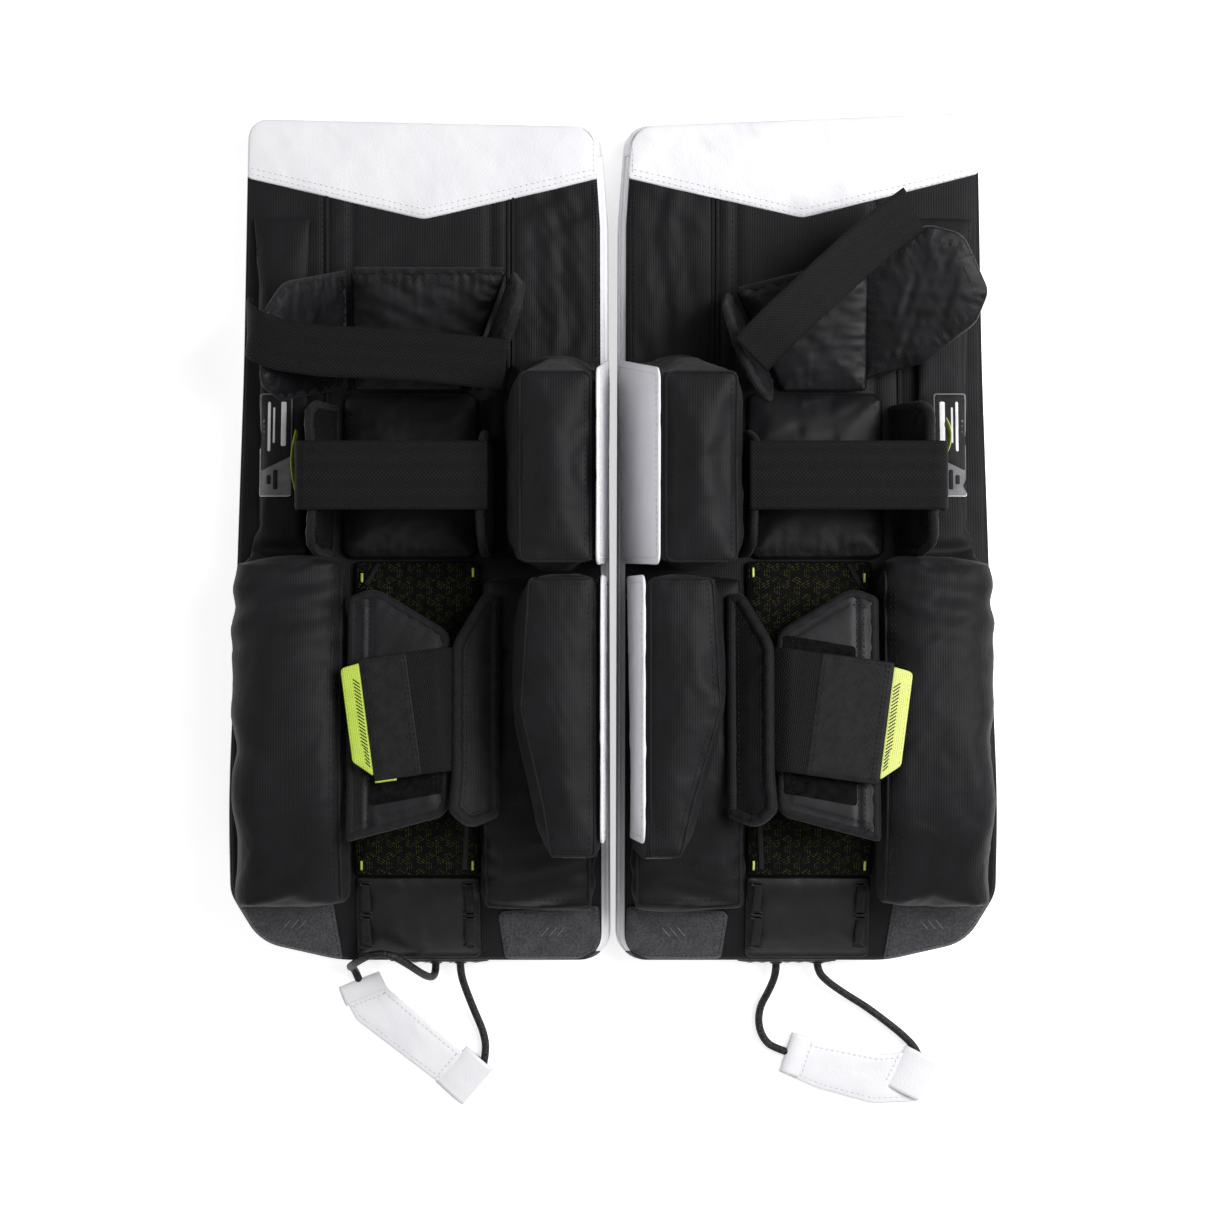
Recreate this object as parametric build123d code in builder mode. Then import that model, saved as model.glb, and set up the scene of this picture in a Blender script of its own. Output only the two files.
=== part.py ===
"""A pair of ice hockey goalie leg pads for a young player, lying on their faces.

Frame: the origin is on the floor under the middle of the two pads, +X points to the outer side of the
right pad, +Y up the leg towards the thighs and +Z away from the floor. Every sub-part is drawn for the
right pad, whose outer side is +X, and the left pad's copy is mirrored. The two pads were closed by hand,
so their blocks and knee bands lean a little differently: the Pose values hold those differences.
"""
import math
import os
from dataclasses import dataclass

from build123d import *

os.makedirs("parts", exist_ok=True)

# ---- the slab: the foam board that the leg lies on ----
pad_length = 644.0  # along the floor
toe_end = -pad_length / 2
inner_edge = 3.0  # from the middle plane to a pad's inner side
outer_edge_thigh = 279.0
outer_edge_boot = 288.0
top_slant = 6.0  # the thigh end is this much longer at its outer corner
slab_thick = 42.0
knee_bend_y = 130.0
ankle_y = -190.0
ankle_rise = 45.0  # the shin stands off the floor this far at the ankle
knee_radius = 420.0
ankle_radius = 90.0
skin = 2.2  # synthetic leather and its backing
gap = 0.3  # between sewn or seated pieces
cover_lap = 12.0  # how far the back cover comes down the sides
plate_thick = 1.5
plate_margin = 18.0

# ---- rolls, liner and panels on the slab's back ----
channel_inner = 100.0
channel_outer = 196.5
roll_outer = 284.0
shin_roll_height = 56.0
thigh_roll_height = 10.0
roll_top_y = -17.0
roll_end_y = -278.0
roll_round = 22.0
thigh_roll_inner = 228.0
inner_roll_height = 32.0
inner_roll_inner = 13.0
inner_roll_top_y = -27.0
inner_roll_end_y = -283.0
liner_height = 10.0
liner_top_y = -17.0
liner_end_y = -256.0
boot_panel_height = 7.0
thigh_panel_thick = 2.0
thigh_panel_side_y = 276.0
thigh_panel_apex_y = 244.0
patch_thick = 1.5
label_size = (26.0, 80.0)
label_inset = 23.0  # of its middle from the pad's outer side
label_y = 71.0
lace_width = 7.0
lace_length = 24.0
lace_rows = (-273.0, -299.0)
lace_inset = 9.0  # from the boot panel's side edges
lace_high = 2.0

# ---- knee block and calf block ----
face_thick = 3.0  # the white landing face on each block's inner side
knee_block_y = (-20.0, 138.0)
knee_block_top_y = (-22.0, 122.0)
block_base_outer = 80.0
knee_block_width = 61.0  # at its top
block_top_z = 182.0
calf_block_y = (-236.0, -28.0)
calf_shoulder_y = -126.0
calf_waist_y = -196.0

# ---- knee cradle and its wide strap ----
wing_thick = 12.0
cradle_height = 13.0
cradle_inner = 102.0
cradle_outer = 206.0
cradle_y = (-16.0, 111.7)
cradle_wing_top_z = 142.0
wing_clearance = 0.7  # between the leaning inner wing and the cradle's padding
outer_wing_extra_lean = 8.0
inner_wing_y = (-15.0, 80.0)
outer_wing_y = (-14.0, 102.0)
strap_thick = 2.5
knee_strap_width = 50.8
knee_strap_y = 45.0
knee_strap_tail = 42.0

# ---- knee wrap, sewn to the cradle's top edge ----
wrap_hinge_y = 112.0
wrap_thick = 12.0
wrap_tilt = 12.0
wrap_lift = 4.0  # of the hinge line over the slab's padding
wrap_strap_width = 38.1
wrap_inner_wing_height = 84.0

# ---- calf wrap ----
calf_frame_y = -130.0
flap_root = 87.0
flap_thick = 8.0
flap_length = 38.0
flap_slope = 26.5
flap_reach = (-88.0, 88.0)  # along the shin, from the calf frame's origin
calf_wing_tip = 122.0
calf_wing_z = (8.0, 16.0)
calf_wing_root = channel_outer + 0.6  # it reaches just over the roll's rounded shoulder
calf_strap_start = 104.0
calf_strap_width = 92.0
calf_strap_turn = 8.0
calf_tab_length = 14.0
calf_tab_width = 86.0

# ---- toe strap: a short strap on two elastic cords ----
cord_diameter = 6.0
cord_hole = 7.2  # in the fold of the toe strap
tab_thick = 3.0
tab_middle_z = 5.5
fold_height = 10.4
fold_wall = 1.6
fold_widths = (16.0, 28.0)  # at the cord's hole, and at the open end where the other cord goes in
bridge_size = (78.0, 5.0, 16.0)
bridge_x = 134.0
bridge_z = 18.0


@dataclass
class Pose:
    """How one pad's pieces were left standing."""

    side: str
    mirrored: bool
    knee_block_lean: float  # of the block's top, away from the other pad
    calf_block_lean: float
    cradle_lean: float
    wrap_panel: list  # on the knee wrap's plane: x, and distance from the hinge line
    wrap_wing_root: float
    wrap_wing: list  # outline from its root, and its corner radii
    wrap_wing_radii: list
    inner_wing_lean: float
    outer_wing_slope: float
    wrap_strap_from: tuple
    wrap_strap_lift: float  # over the inner wing, where the strap slopes across its edge
    wrap_strap_to: tuple
    wrap_strap_tail: float
    calf_strap_end: float
    # the toe strap and its cords lie past the boot's end, and their y is measured from it
    tab_outline: list
    tab_folds: list  # each from its open upper end to its lower end
    cords: dict


LEFT = Pose(
    side="left", mirrored=True,
    knee_block_lean=8.0, calf_block_lean=5.0, cradle_lean=4.0,
    wrap_panel=[(114, 0.6), (80, 93), (198, 93), (198, 0.6)],
    wrap_wing_root=198.0,
    wrap_wing=[(0, 2), (0, 92), (70, 90), (98, 66), (98, 16), (78, 2)],
    wrap_wing_radii=[1, 1, 24, 18, 12, 12],
    inner_wing_lean=-12.0, outer_wing_slope=55.0,
    wrap_strap_from=(81.0, 34.0), wrap_strap_lift=0.3, wrap_strap_to=(270.0, 50.0, 82.0), wrap_strap_tail=30.0,
    calf_strap_end=183.0,
    tab_outline=[(213, -25), (181.5, -12.7), (175, -25.7), (113, -78.5), (92.5, -88.8),
                 (116.9, -116.6), (129, -104), (199, -50.6)],
    tab_folds=[((181.5, -12.7), (213, -25)), ((92.5, -88.8), (116.9, -116.6))],
    cords={
        "outer": [(137, -5.6, 16), (137, -12, 16.4), (139, -15.5, 27), (145, -11.5, 43),
                  (156, -1.5, 60), (170, 7.5, 68.5), (184, 6.5, 66.5), (195, 0, 56),
                  (200.5, -5, 40), (202.5, -7, 27), (202, -8.5, 15), (199.8, -12.5, 6.2),
                  (196, -22, 5.5)],
        "inner": [(118, -5.6, 16), (117.8, -14, 15.4), (113, -29, 10), (107, -44.5, 7),
                  (100.5, -59.5, 5.5), (98, -74, 5.5), (101, -87.5, 5.5)],
    },
)
RIGHT = Pose(
    side="right", mirrored=False,
    knee_block_lean=30.0, calf_block_lean=19.0, cradle_lean=16.0,
    wrap_panel=[(129, 0.6), (92, 78), (193, 102), (193, 0.6)],
    wrap_wing_root=193.0,
    wrap_wing=[(0, 12), (0, 104), (43, 128), (70, 121), (90, 78), (81, 54), (43, 23)],
    wrap_wing_radii=[1, 1, 18, 20, 14, 20, 40],
    inner_wing_lean=-8.0, outer_wing_slope=7.0,
    wrap_strap_from=(103.0, 38.0), wrap_strap_lift=1.3, wrap_strap_to=(229.0, 142.0, 15.0),
    wrap_strap_tail=3.0,
    calf_strap_end=203.0,
    tab_outline=[(138.8, -59.4), (160, -68), (205, -77), (233, -75), (252.5, -82), (237, -113.6),
                 (201.6, -115.2), (158.9, -103.6), (128.7, -90.4)],
    tab_folds=[((138.8, -59.4), (128.7, -90.4)), ((252.5, -82), (237, -113.6))],
    cords={
        "inner": [(126, -5.6, 16), (126.3, -13, 15.4), (121, -27.5, 9), (113.5, -41, 6),
                  (113, -56.5, 5.5), (118.8, -68, 5.5), (127, -72.7, 5.5), (137.5, -76.2, 5.5)],
        "outer": [(158, -5.6, 16), (158.6, -12, 15.6), (166, -20, 12.5), (180, -30, 8),
                  (195.5, -39.5, 6), (211, -51, 5.5), (225.5, -62.5, 5.5), (236.5, -74, 5.5), (239.5, -85, 5.5)],
    },
)


# ---------------------------------------------------------------- the slab's side line
def shin_direction():
    """Unit vector along the shin towards the toe, as (y, z)."""
    run = knee_bend_y - ankle_y
    length = math.hypot(run, ankle_rise)
    return (-run / length, ankle_rise / length)


def pad_line(distance):
    """Corners and fillet radii of the line at a distance above the pad's face, as (y, z)."""
    toe = -pad_length / 2
    fall = math.hypot(toe - ankle_y, ankle_rise)
    steps = [(-1.0, 0.0), shin_direction(), ((toe - ankle_y) / fall, -ankle_rise / fall)]
    normals = [(z, -y) for y, z in steps]
    over = 20.0  # past each end, to be cut by the plan outline
    ends = [
        (pad_length / 2 + over + distance * normals[0][0], distance),
        (toe + over * steps[2][0] + distance * normals[2][0],
         over * steps[2][1] + distance * normals[2][1]),
    ]
    bends = []
    for (y, z), a, b in zip([(knee_bend_y, 0.0), (ankle_y, ankle_rise)], normals, normals[1:]):
        share = distance / (1 + a[0] * b[0] + a[1] * b[1])
        bends.append((y + share * (a[0] + b[0]), z + share * (a[1] + b[1])))
    return [ends[0], *bends, ends[1]], [knee_radius - distance, ankle_radius + distance]


def height_at(distance, y):
    """Height over the floor of the straight line at a distance above the face, fillets left out."""
    corners, _ = pad_line(distance)
    for (y1, z1), (y0, z0) in zip(corners, corners[1:]):
        if y0 <= y <= y1:
            return z0 + (z1 - z0) * (y - y0) / (y1 - y0)
    raise ValueError(f"y {y} is off the pad")


def layer(low, high, x_span, y_span):
    """A layer that follows the pad from one distance above its face to another."""
    with BuildPart() as made:
        with BuildSketch(Plane.YZ.offset(x_span[0])):
            with BuildLine():
                corners, radii = pad_line(low)
                under = FilletPolyline(*corners, radius=radii)
                corners, radii = pad_line(high)
                over = FilletPolyline(*corners, radius=radii)
                Line(under @ 0, over @ 0)
                Line(under @ 1, over @ 1)
            make_face()
            with Locations(((y_span[0] + y_span[1]) / 2, 0)):
                Rectangle(y_span[1] - y_span[0], 4 * pad_length, mode=Mode.INTERSECT)
        extrude(amount=x_span[1] - x_span[0])
    return made.part


def plan_outline():
    """The pad's outline on the floor, as corners and fillet radii."""
    low, high = -pad_length / 2, pad_length / 2
    corners = [
        (inner_edge, low), (outer_edge_boot - 83, low), (outer_edge_boot - 26, low + 18),
        (outer_edge_boot, low + 54), (outer_edge_thigh, high), (inner_edge + 6, high - top_slant),
    ]
    return corners, [20.0, 90.0, 45.0, 40.0, 14.0, 16.0]


def blank(low, high, inset):
    """The pad's whole outline between two distances above its face, drawn in by an inset."""
    slab = layer(low, high, (0, outer_edge_boot + 10), (-pad_length, pad_length))
    with BuildPart() as made:
        with BuildSketch():
            with BuildLine():
                corners, radii = plan_outline()
                FilletPolyline(*corners, radius=radii, close=True)
            make_face()
            if inset:
                offset(amount=-inset)
        extrude(amount=pad_length / 2)
        add(slab, mode=Mode.INTERSECT)
    return made.part


def beneath(distance):
    """Everything from well under the floor up to a distance above the face."""
    return layer(-60, distance, (-40, outer_edge_boot + 60), (-pad_length / 2, pad_length / 2))


# ---------------------------------------------------------------- pieces of the slab
def face_cover():
    outside = blank(0, slab_thick - cover_lap, 0)
    inside = blank(skin, slab_thick, skin)
    with BuildPart() as cover:
        add(outside)
        add(inside, mode=Mode.SUBTRACT)
    return cover.part


def back_cover():
    outside = blank(slab_thick - cover_lap + gap, slab_thick, 0)
    inside = blank(0, slab_thick - skin, skin)
    with BuildPart() as cover:
        add(outside)
        add(inside, mode=Mode.SUBTRACT)
    return cover.part


def foam_core():
    return blank(skin + gap, slab_thick - skin - plate_thick - 2 * gap, skin + gap)


def stiffener_plate():
    top = slab_thick - skin - gap
    return blank(top - plate_thick, top, plate_margin)


def outer_roll():
    base = slab_thick + gap
    shin = layer(base, slab_thick + shin_roll_height, (channel_outer + gap, roll_outer),
                 (roll_end_y, roll_top_y))
    thigh = layer(base, slab_thick + thigh_roll_height, (thigh_roll_inner, outer_edge_thigh - 3),
                  (roll_top_y - 1, thigh_panel_side_y - 24))
    with BuildPart() as roll:
        add(shin)
        fillet(roll.faces().sort_by(Axis.Z)[-1].edges().filter_by(Axis.X, reverse=True), radius=roll_round)
        add(thigh)
    return roll.part


def inner_roll():
    return layer(slab_thick + gap, slab_thick + inner_roll_height,
                 (inner_roll_inner, channel_inner - gap), (inner_roll_end_y, inner_roll_top_y))


def shin_liner():
    return layer(slab_thick + gap, slab_thick + liner_height, (channel_inner, channel_outer),
                 (liner_end_y, liner_top_y))


def on_outline(low, high, points):
    """A thin piece between two distances above the face: a plan shape held to the pad's outline."""
    whole = blank(low, high, skin)
    with BuildPart() as made:
        add(whole)
        with BuildSketch():
            with BuildLine():
                Polyline(*points, close=True)
            make_face()
        extrude(amount=pad_length, mode=Mode.INTERSECT)
    return made.part


def boot_panel():
    edge = liner_end_y - gap
    return on_outline(slab_thick + gap, slab_thick + boot_panel_height, [
        (channel_inner, edge), (channel_outer - 1, edge), (channel_outer - 1, -pad_length),
        (channel_inner, -pad_length)])


def thigh_panel():
    middle = (inner_edge + outer_edge_thigh) / 2
    return on_outline(slab_thick + gap, slab_thick + gap + thigh_panel_thick, [
        (0, thigh_panel_side_y), (middle, thigh_panel_apex_y), (outer_edge_boot, thigh_panel_side_y),
        (outer_edge_boot, pad_length), (0, pad_length)])


def sewn_patches():
    """Two wear patches on the boot's corners, and the size label on the thigh roll."""
    low = slab_thick + gap
    outer = on_outline(low, low + patch_thick, [
        (215, -282), (outer_edge_boot, -282), (outer_edge_boot, -pad_length), (206, -pad_length)])
    inner = on_outline(low, low + patch_thick, [
        (18, -286), (88, -286), (82, -pad_length), (24, -pad_length)])
    base = slab_thick + thigh_roll_height + gap
    x = outer_edge_thigh - label_inset
    label = layer(base, base + patch_thick, (x - label_size[0] / 2, x + label_size[0] / 2),
                  (label_y - label_size[1] / 2, label_y + label_size[1] / 2))
    return Compound(children=[outer.solid(), inner.solid(), label.solid()])


def laces():
    """Four flat stitches that lace the boot panel down."""
    low = slab_thick + boot_panel_height + gap
    stitches = [
        layer(low, low + lace_high, (x - lace_width / 2, x + lace_width / 2),
              (y - lace_length / 2, y + lace_length / 2))
        for x in (channel_inner + lace_inset, channel_outer - lace_inset) for y in lace_rows
    ]
    return Compound(children=[s.solid() for s in stitches])


# ---------------------------------------------------------------- blocks
def tapered(base_points, top_points, base_z, floor_distance):
    """A straight-sided block from one outline to another, cut to sit on the layer below it."""
    floor = beneath(floor_distance)
    with BuildPart() as made:
        for points, z in ((base_points, base_z), (top_points, block_top_z)):
            with BuildSketch(Plane.XY.offset(z)):
                with BuildLine():
                    Polyline(*points, close=True)
                make_face()
        loft(ruled=True)
        add(floor, mode=Mode.SUBTRACT)
    return made.part


def knee_block_sides(pose):
    """The inner side's x at the block's base and top."""
    base = inner_edge - 1
    return base, base + pose.knee_block_lean


def knee_block(pose):
    base, top = knee_block_sides(pose)
    inset = face_thick + gap
    outer = top + knee_block_width
    (y0, y1), (v0, v1) = knee_block_y, knee_block_top_y
    return tapered(
        [(base + inset, y0), (block_base_outer, y0), (block_base_outer, y1), (base + inset, y1)],
        [(top + inset, v0), (outer, v0), (outer, v1), (top + inset, v1)],
        slab_thick - 2, slab_thick + gap)


def calf_outline(inner, waist_inner, outer_shift):
    y0, y1 = calf_block_y
    return [
        (inner, y1), (64 + outer_shift, y1), (70 + outer_shift, calf_shoulder_y),
        (54 + outer_shift * 0.6, calf_waist_y), (48 + outer_shift * 0.3, y0),
        (waist_inner, y0), (inner, calf_waist_y),
    ]


def calf_block(pose):
    base = inner_edge - 1 + face_thick + gap
    top = base + pose.calf_block_lean
    return tapered(
        calf_outline(base, base, 8), calf_outline(top, base + 4, 0.8 * (pose.calf_block_lean - 5)),
        slab_thick, slab_thick + inner_roll_height + gap)


def landing_faces(pose):
    """The white faces on the blocks' inner sides."""
    base, top = knee_block_sides(pose)
    (y0, y1), (v0, v1) = knee_block_y, knee_block_top_y
    knee = tapered(
        [(base, y0), (base + face_thick, y0), (base + face_thick, y1), (base, y1)],
        [(top, v0), (top + face_thick, v0), (top + face_thick, v1), (top, v1)],
        slab_thick - 2, slab_thick + gap)
    y0, y1 = calf_block_y
    lean = pose.calf_block_lean
    calf = tapered(
        [(base, calf_waist_y), (base + face_thick, calf_waist_y), (base + face_thick, y1), (base, y1)],
        [(base + lean, calf_waist_y), (base + face_thick + lean, calf_waist_y),
         (base + face_thick + lean, y1), (base + lean, y1)],
        slab_thick, slab_thick + inner_roll_height + gap)
    return Compound(children=[knee.solid(), calf.solid()])


# ---------------------------------------------------------------- knee cradle
def knee_cradle():
    return layer(slab_thick + gap, slab_thick + cradle_height, (cradle_inner, cradle_outer), cradle_y)


def cradle_wing(root, lean, y_span):
    """A padded wing that stands on the slab's back and leans away from the middle plane."""
    base_z = slab_thick - 2
    low, high = y_span
    floor = beneath(slab_thick + gap)
    with BuildPart() as made:
        for x, z in ((root, base_z), (root + lean, cradle_wing_top_z)):
            with BuildSketch(Plane.XY.offset(z)):
                with Locations((x + wing_thick / 2, (low + high) / 2)):
                    Rectangle(wing_thick, high - low)
        loft(ruled=True)
        add(floor, mode=Mode.SUBTRACT)
    return made.part


def cradle_wing_roots(pose):
    base_z = slab_thick - 2
    padding_z = height_at(slab_thick + cradle_height, cradle_y[0])
    lean = pose.cradle_lean * (padding_z - base_z) / (cradle_wing_top_z - base_z)
    return {"inner": cradle_inner - wing_thick - wing_clearance - lean, "outer": cradle_outer + gap}


def outer_lean(pose):
    """The outer wing is pulled over a little further than the inner one."""
    return pose.cradle_lean + outer_wing_extra_lean


def knee_cradle_inner_wing(pose):
    return cradle_wing(cradle_wing_roots(pose)["inner"], pose.cradle_lean, inner_wing_y)


def knee_cradle_outer_wing(pose):
    return cradle_wing(cradle_wing_roots(pose)["outer"], outer_lean(pose), outer_wing_y)


def flat_strap(start, end, up, width, tail):
    """A strap from start to end, with a tail that turns down at its far end."""
    along = Vector(*end) - Vector(*start)
    across = Vector(*up).cross(along).normalized()
    ribbon = Plane(origin=start, x_dir=along, z_dir=along.cross(across))
    length = along.length
    with BuildPart() as strap:
        with BuildSketch(ribbon):
            with Locations((length / 2, 0)):
                Rectangle(length, width)
        extrude(amount=strap_thick)
        with BuildSketch(ribbon):
            with Locations((length - strap_thick / 2, 0)):
                Rectangle(strap_thick, width)
        extrude(amount=-tail)
    return strap.part


def knee_strap_line(pose):
    """Start and end of the wide strap's underside, over the tops of the cradle's wings."""
    roots = cradle_wing_roots(pose)
    z = cradle_wing_top_z + gap
    start = roots["inner"] + pose.cradle_lean
    end = roots["outer"] + outer_lean(pose) + wing_thick + 2 * strap_thick
    return (start, knee_strap_y, z), (end, knee_strap_y, z)


def knee_strap(pose):
    start, end = knee_strap_line(pose)
    return flat_strap(start, end, (0, 0, 1), knee_strap_width, knee_strap_tail)


# ---------------------------------------------------------------- knee wrap
def wrap_frame():
    """The plane in the middle of the knee wrap's panel: X outwards, Y up the thigh."""
    z = height_at(slab_thick + gap + wrap_thick / 2, wrap_hinge_y) + wrap_lift
    tilt = math.radians(wrap_tilt)
    return Plane(origin=(0, wrap_hinge_y, z), x_dir=(1, 0, 0), z_dir=(0, -math.sin(tilt), math.cos(tilt)))


def wrap_point(x, along, up):
    return wrap_frame().from_local_coords(Vector(x, along, up))


def knee_wrap_center(pose):
    with BuildPart() as panel:
        with BuildSketch(wrap_frame().offset(-wrap_thick / 2)):
            with BuildLine():
                Polyline(*pose.wrap_panel, close=True)
            make_face()
        extrude(amount=wrap_thick)
    return panel.part


def outer_wing_plane(pose):
    """On the outer wing's underside, from its root outwards and up."""
    slope = math.radians(pose.outer_wing_slope)
    frame = wrap_frame()
    out, up = frame.x_dir, frame.z_dir
    # the thickness of a sloping wing reaches back towards the panel
    root = pose.wrap_wing_root + gap + wrap_thick * math.sin(slope)
    return Plane(origin=wrap_point(root, 0, -wrap_thick / 2),
                 x_dir=out * math.cos(slope) + up * math.sin(slope),
                 z_dir=up * math.cos(slope) - out * math.sin(slope))


def knee_wrap_outer_wing(pose):
    with BuildPart() as wing:
        with BuildSketch(outer_wing_plane(pose)):
            with BuildLine():
                FilletPolyline(*pose.wrap_wing, radius=pose.wrap_wing_radii, close=True)
            make_face()
        extrude(amount=wrap_thick)
    return wing.part


def inner_wing_plane(pose):
    """On the inner wing's outer side: X along the fold up the thigh, Y up the wing."""
    low, high = pose.wrap_panel[:2]
    root = wrap_point(low[0] - gap, low[1], -wrap_thick / 2)
    along = (wrap_point(high[0] - gap, high[1], -wrap_thick / 2) - root).normalized()
    frame = wrap_frame()
    up = frame.z_dir + frame.x_dir * (pose.inner_wing_lean / wrap_inner_wing_height)
    up = (up - along * up.dot(along)).normalized()
    return Plane(origin=root, x_dir=along, z_dir=along.cross(up))


def knee_wrap_inner_wing(pose):
    low, high = pose.wrap_panel[:2]
    length = math.dist(low, high)
    tall = wrap_inner_wing_height
    with BuildPart() as wing:
        with BuildSketch(inner_wing_plane(pose)):
            with BuildLine():
                FilletPolyline((7, 0), (length, 0), (length, tall * 0.62), (length * 0.8, tall),
                               (length * 0.14, tall), (3, tall * 0.6), radius=[1, 1, 14, 18, 16, 10],
                               close=True)
            make_face()
        extrude(amount=-wrap_thick)
    return wing.part


def knee_wrap_strap(pose):
    """From the top edge of the inner wing to the outer wing."""
    x, along = pose.wrap_strap_from
    frame = wrap_frame()
    wing_top = inner_wing_plane(pose).from_local_coords(Vector(along, wrap_inner_wing_height, 0))
    start = wrap_point(x, along, frame.to_local_coords(wing_top).Z + pose.wrap_strap_lift)
    end = wrap_point(*pose.wrap_strap_to)
    return flat_strap(tuple(start), tuple(end), frame.z_dir, wrap_strap_width, pose.wrap_strap_tail)


# ---------------------------------------------------------------- calf wrap
def calf_frame():
    """On top of the inner roll, with X outwards and Y along the shin towards the knee."""
    step_y, step_z = shin_direction()
    distance = slab_thick + inner_roll_height
    z = height_at(distance, calf_frame_y)
    return Plane(origin=(0, calf_frame_y, z), x_dir=(1, 0, 0), z_dir=(0, step_z, -step_y))


def calf_point(x, along, up):
    return calf_frame().from_local_coords(Vector(x, along, up))


def calf_flap():
    slope = math.radians(flap_slope)
    frame = calf_frame()
    out, up = frame.x_dir, frame.z_dir
    plane = Plane(origin=calf_point(flap_root, 0, gap), z_dir=up * math.cos(slope) - out * math.sin(slope),
                  x_dir=out * math.cos(slope) + up * math.sin(slope))
    low, high = flap_reach
    with BuildPart() as flap:
        with BuildSketch(plane):
            with BuildLine():
                FilletPolyline((0, low + 12), (flap_length - 8, low), (flap_length, low + 12),
                               (flap_length, high - 38), (12, high), (0, high), close=True,
                               radius=[2, 5, 5, 16, 5, 2])
            make_face()
        extrude(amount=flap_thick)
    return flap.part


def calf_wing():
    low, high = calf_wing_z
    with BuildPart() as wing:
        with BuildSketch(calf_frame().offset(low)):
            with BuildLine():
                FilletPolyline((calf_wing_tip, -78), (calf_wing_root, -98), (calf_wing_root, 84),
                               (calf_wing_tip + 56, 92), (calf_wing_tip, 58), close=True,
                               radius=[12, 1, 3, 20, 12])
            make_face()
        extrude(amount=high - low)
    return wing.part


def calf_strap_plane():
    """On the flap's highest edge, turned so that the far end sits nearer the ankle."""
    slope = math.radians(flap_slope)
    top = gap + flap_length * math.sin(slope) + flap_thick * math.cos(slope)
    frame = calf_frame()
    turn = math.radians(calf_strap_turn)
    along = frame.x_dir * math.cos(turn) - frame.y_dir * math.sin(turn)
    return Plane(origin=calf_point(calf_strap_start, 2, top + gap), x_dir=along, z_dir=frame.z_dir)


def calf_strap(pose):
    length = pose.calf_strap_end - calf_strap_start
    with BuildPart() as strap:
        with BuildSketch(calf_strap_plane()):
            with Locations((length / 2, 0)):
                Rectangle(length, calf_strap_width)
        extrude(amount=strap_thick)
    return strap.part


def calf_strap_tab(pose):
    start = pose.calf_strap_end - calf_strap_start + gap
    half = calf_tab_width / 2
    with BuildPart() as tab:
        with BuildSketch(calf_strap_plane()):
            with BuildLine():
                Polyline((start, -half), (start + calf_tab_length, -half + 14),
                         (start + calf_tab_length, half - 2), (start, half), close=True)
            make_face()
        extrude(amount=strap_thick)
    return tab.part


# ---------------------------------------------------------------- toe strap and its cords
def toe_bridge():
    """The moulded anchor on the boot's end that both cords are tied in."""
    wide, deep, tall = bridge_size
    front = Plane(origin=(bridge_x, toe_end - gap, bridge_z), x_dir=(1, 0, 0), z_dir=(0, -1, 0))
    with BuildPart() as bridge:
        with BuildSketch(front):
            RectangleRounded(wide, tall, tall / 3)
        extrude(amount=deep)
    return bridge.part


def cord(route, name):
    """A free cord: straight runs joined by arcs as large as the runs allow."""
    points = [Vector(x, toe_end + y, z) for x, y, z in route]
    radii = []
    for before, here, after in zip(points, points[1:], points[2:]):
        turn = math.radians((here - before).get_angle(after - here))
        shorter = min((here - before).length, (after - here).length)
        radii.append(0.45 * shorter / math.tan(turn / 2))
    with BuildPart() as tube:
        with BuildLine():
            path = FilletPolyline(*points, radius=radii)
        with BuildSketch(Plane(origin=path @ 0, z_dir=path % 0)):
            Circle(cord_diameter / 2)
        sweep()
    length = path.length
    expected = math.pi * cord_diameter ** 2 / 4 * length
    print(f"{name}: length {length:.0f} mm, radii {[round(r) for r in radii]}, "
          f"volume ratio {tube.part.volume / expected:.4f}")
    return tube.part


def toe_tab(pose):
    """A short strap with a sewn fold at each end: one cord is knotted in each fold."""
    level = Plane.XY.offset(tab_middle_z).shift_origin((0, toe_end, tab_middle_z))
    corners = [level.from_local_coords(Vector(*corner)) for corner in pose.tab_outline]
    middle = sum(corners, Vector()) / len(corners)
    folds = []
    for (upper, lower), width in zip(pose.tab_folds, fold_widths):
        start = level.from_local_coords(Vector(*upper))
        run = level.from_local_coords(Vector(*lower)) - start
        inward = run.cross(Vector(0, 0, 1)).normalized()
        if inward.dot(middle - start) < 0:
            inward = -inward
        folds.append((Plane(origin=start + inward * width / 2, x_dir=inward, z_dir=run), run, width))
    with BuildPart() as tab:
        with BuildSketch(level):
            with BuildLine():
                Polyline(*pose.tab_outline, close=True)
            make_face()
        extrude(amount=tab_thick / 2, both=True)
        for plane, run, width in folds:
            with BuildSketch(plane):
                SlotOverall(width, fold_height)
            extrude(amount=run.length)
        for plane, run, width in folds:
            with BuildSketch(plane):
                SlotOverall(width - 2 * fold_wall, fold_height - 2 * fold_wall)
            extrude(amount=run.length, mode=Mode.SUBTRACT)
        plane, run, width = folds[0]
        with BuildSketch(Plane(origin=plane.origin + run / 2, z_dir=-plane.x_dir)):
            Circle(cord_hole / 2)
        extrude(amount=width, mode=Mode.SUBTRACT)
    return tab.part


# ---------------------------------------------------------------- write the files
def write(name, shape, pose):
    """One STEP file: the right pad's piece, or its mirror image on the left."""
    if pose.mirrored:
        shape = mirror(shape, about=Plane.YZ)
    shape.label = f"{pose.side}_{name}"
    export_step(shape, f"parts/{shape.label}.step")


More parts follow.
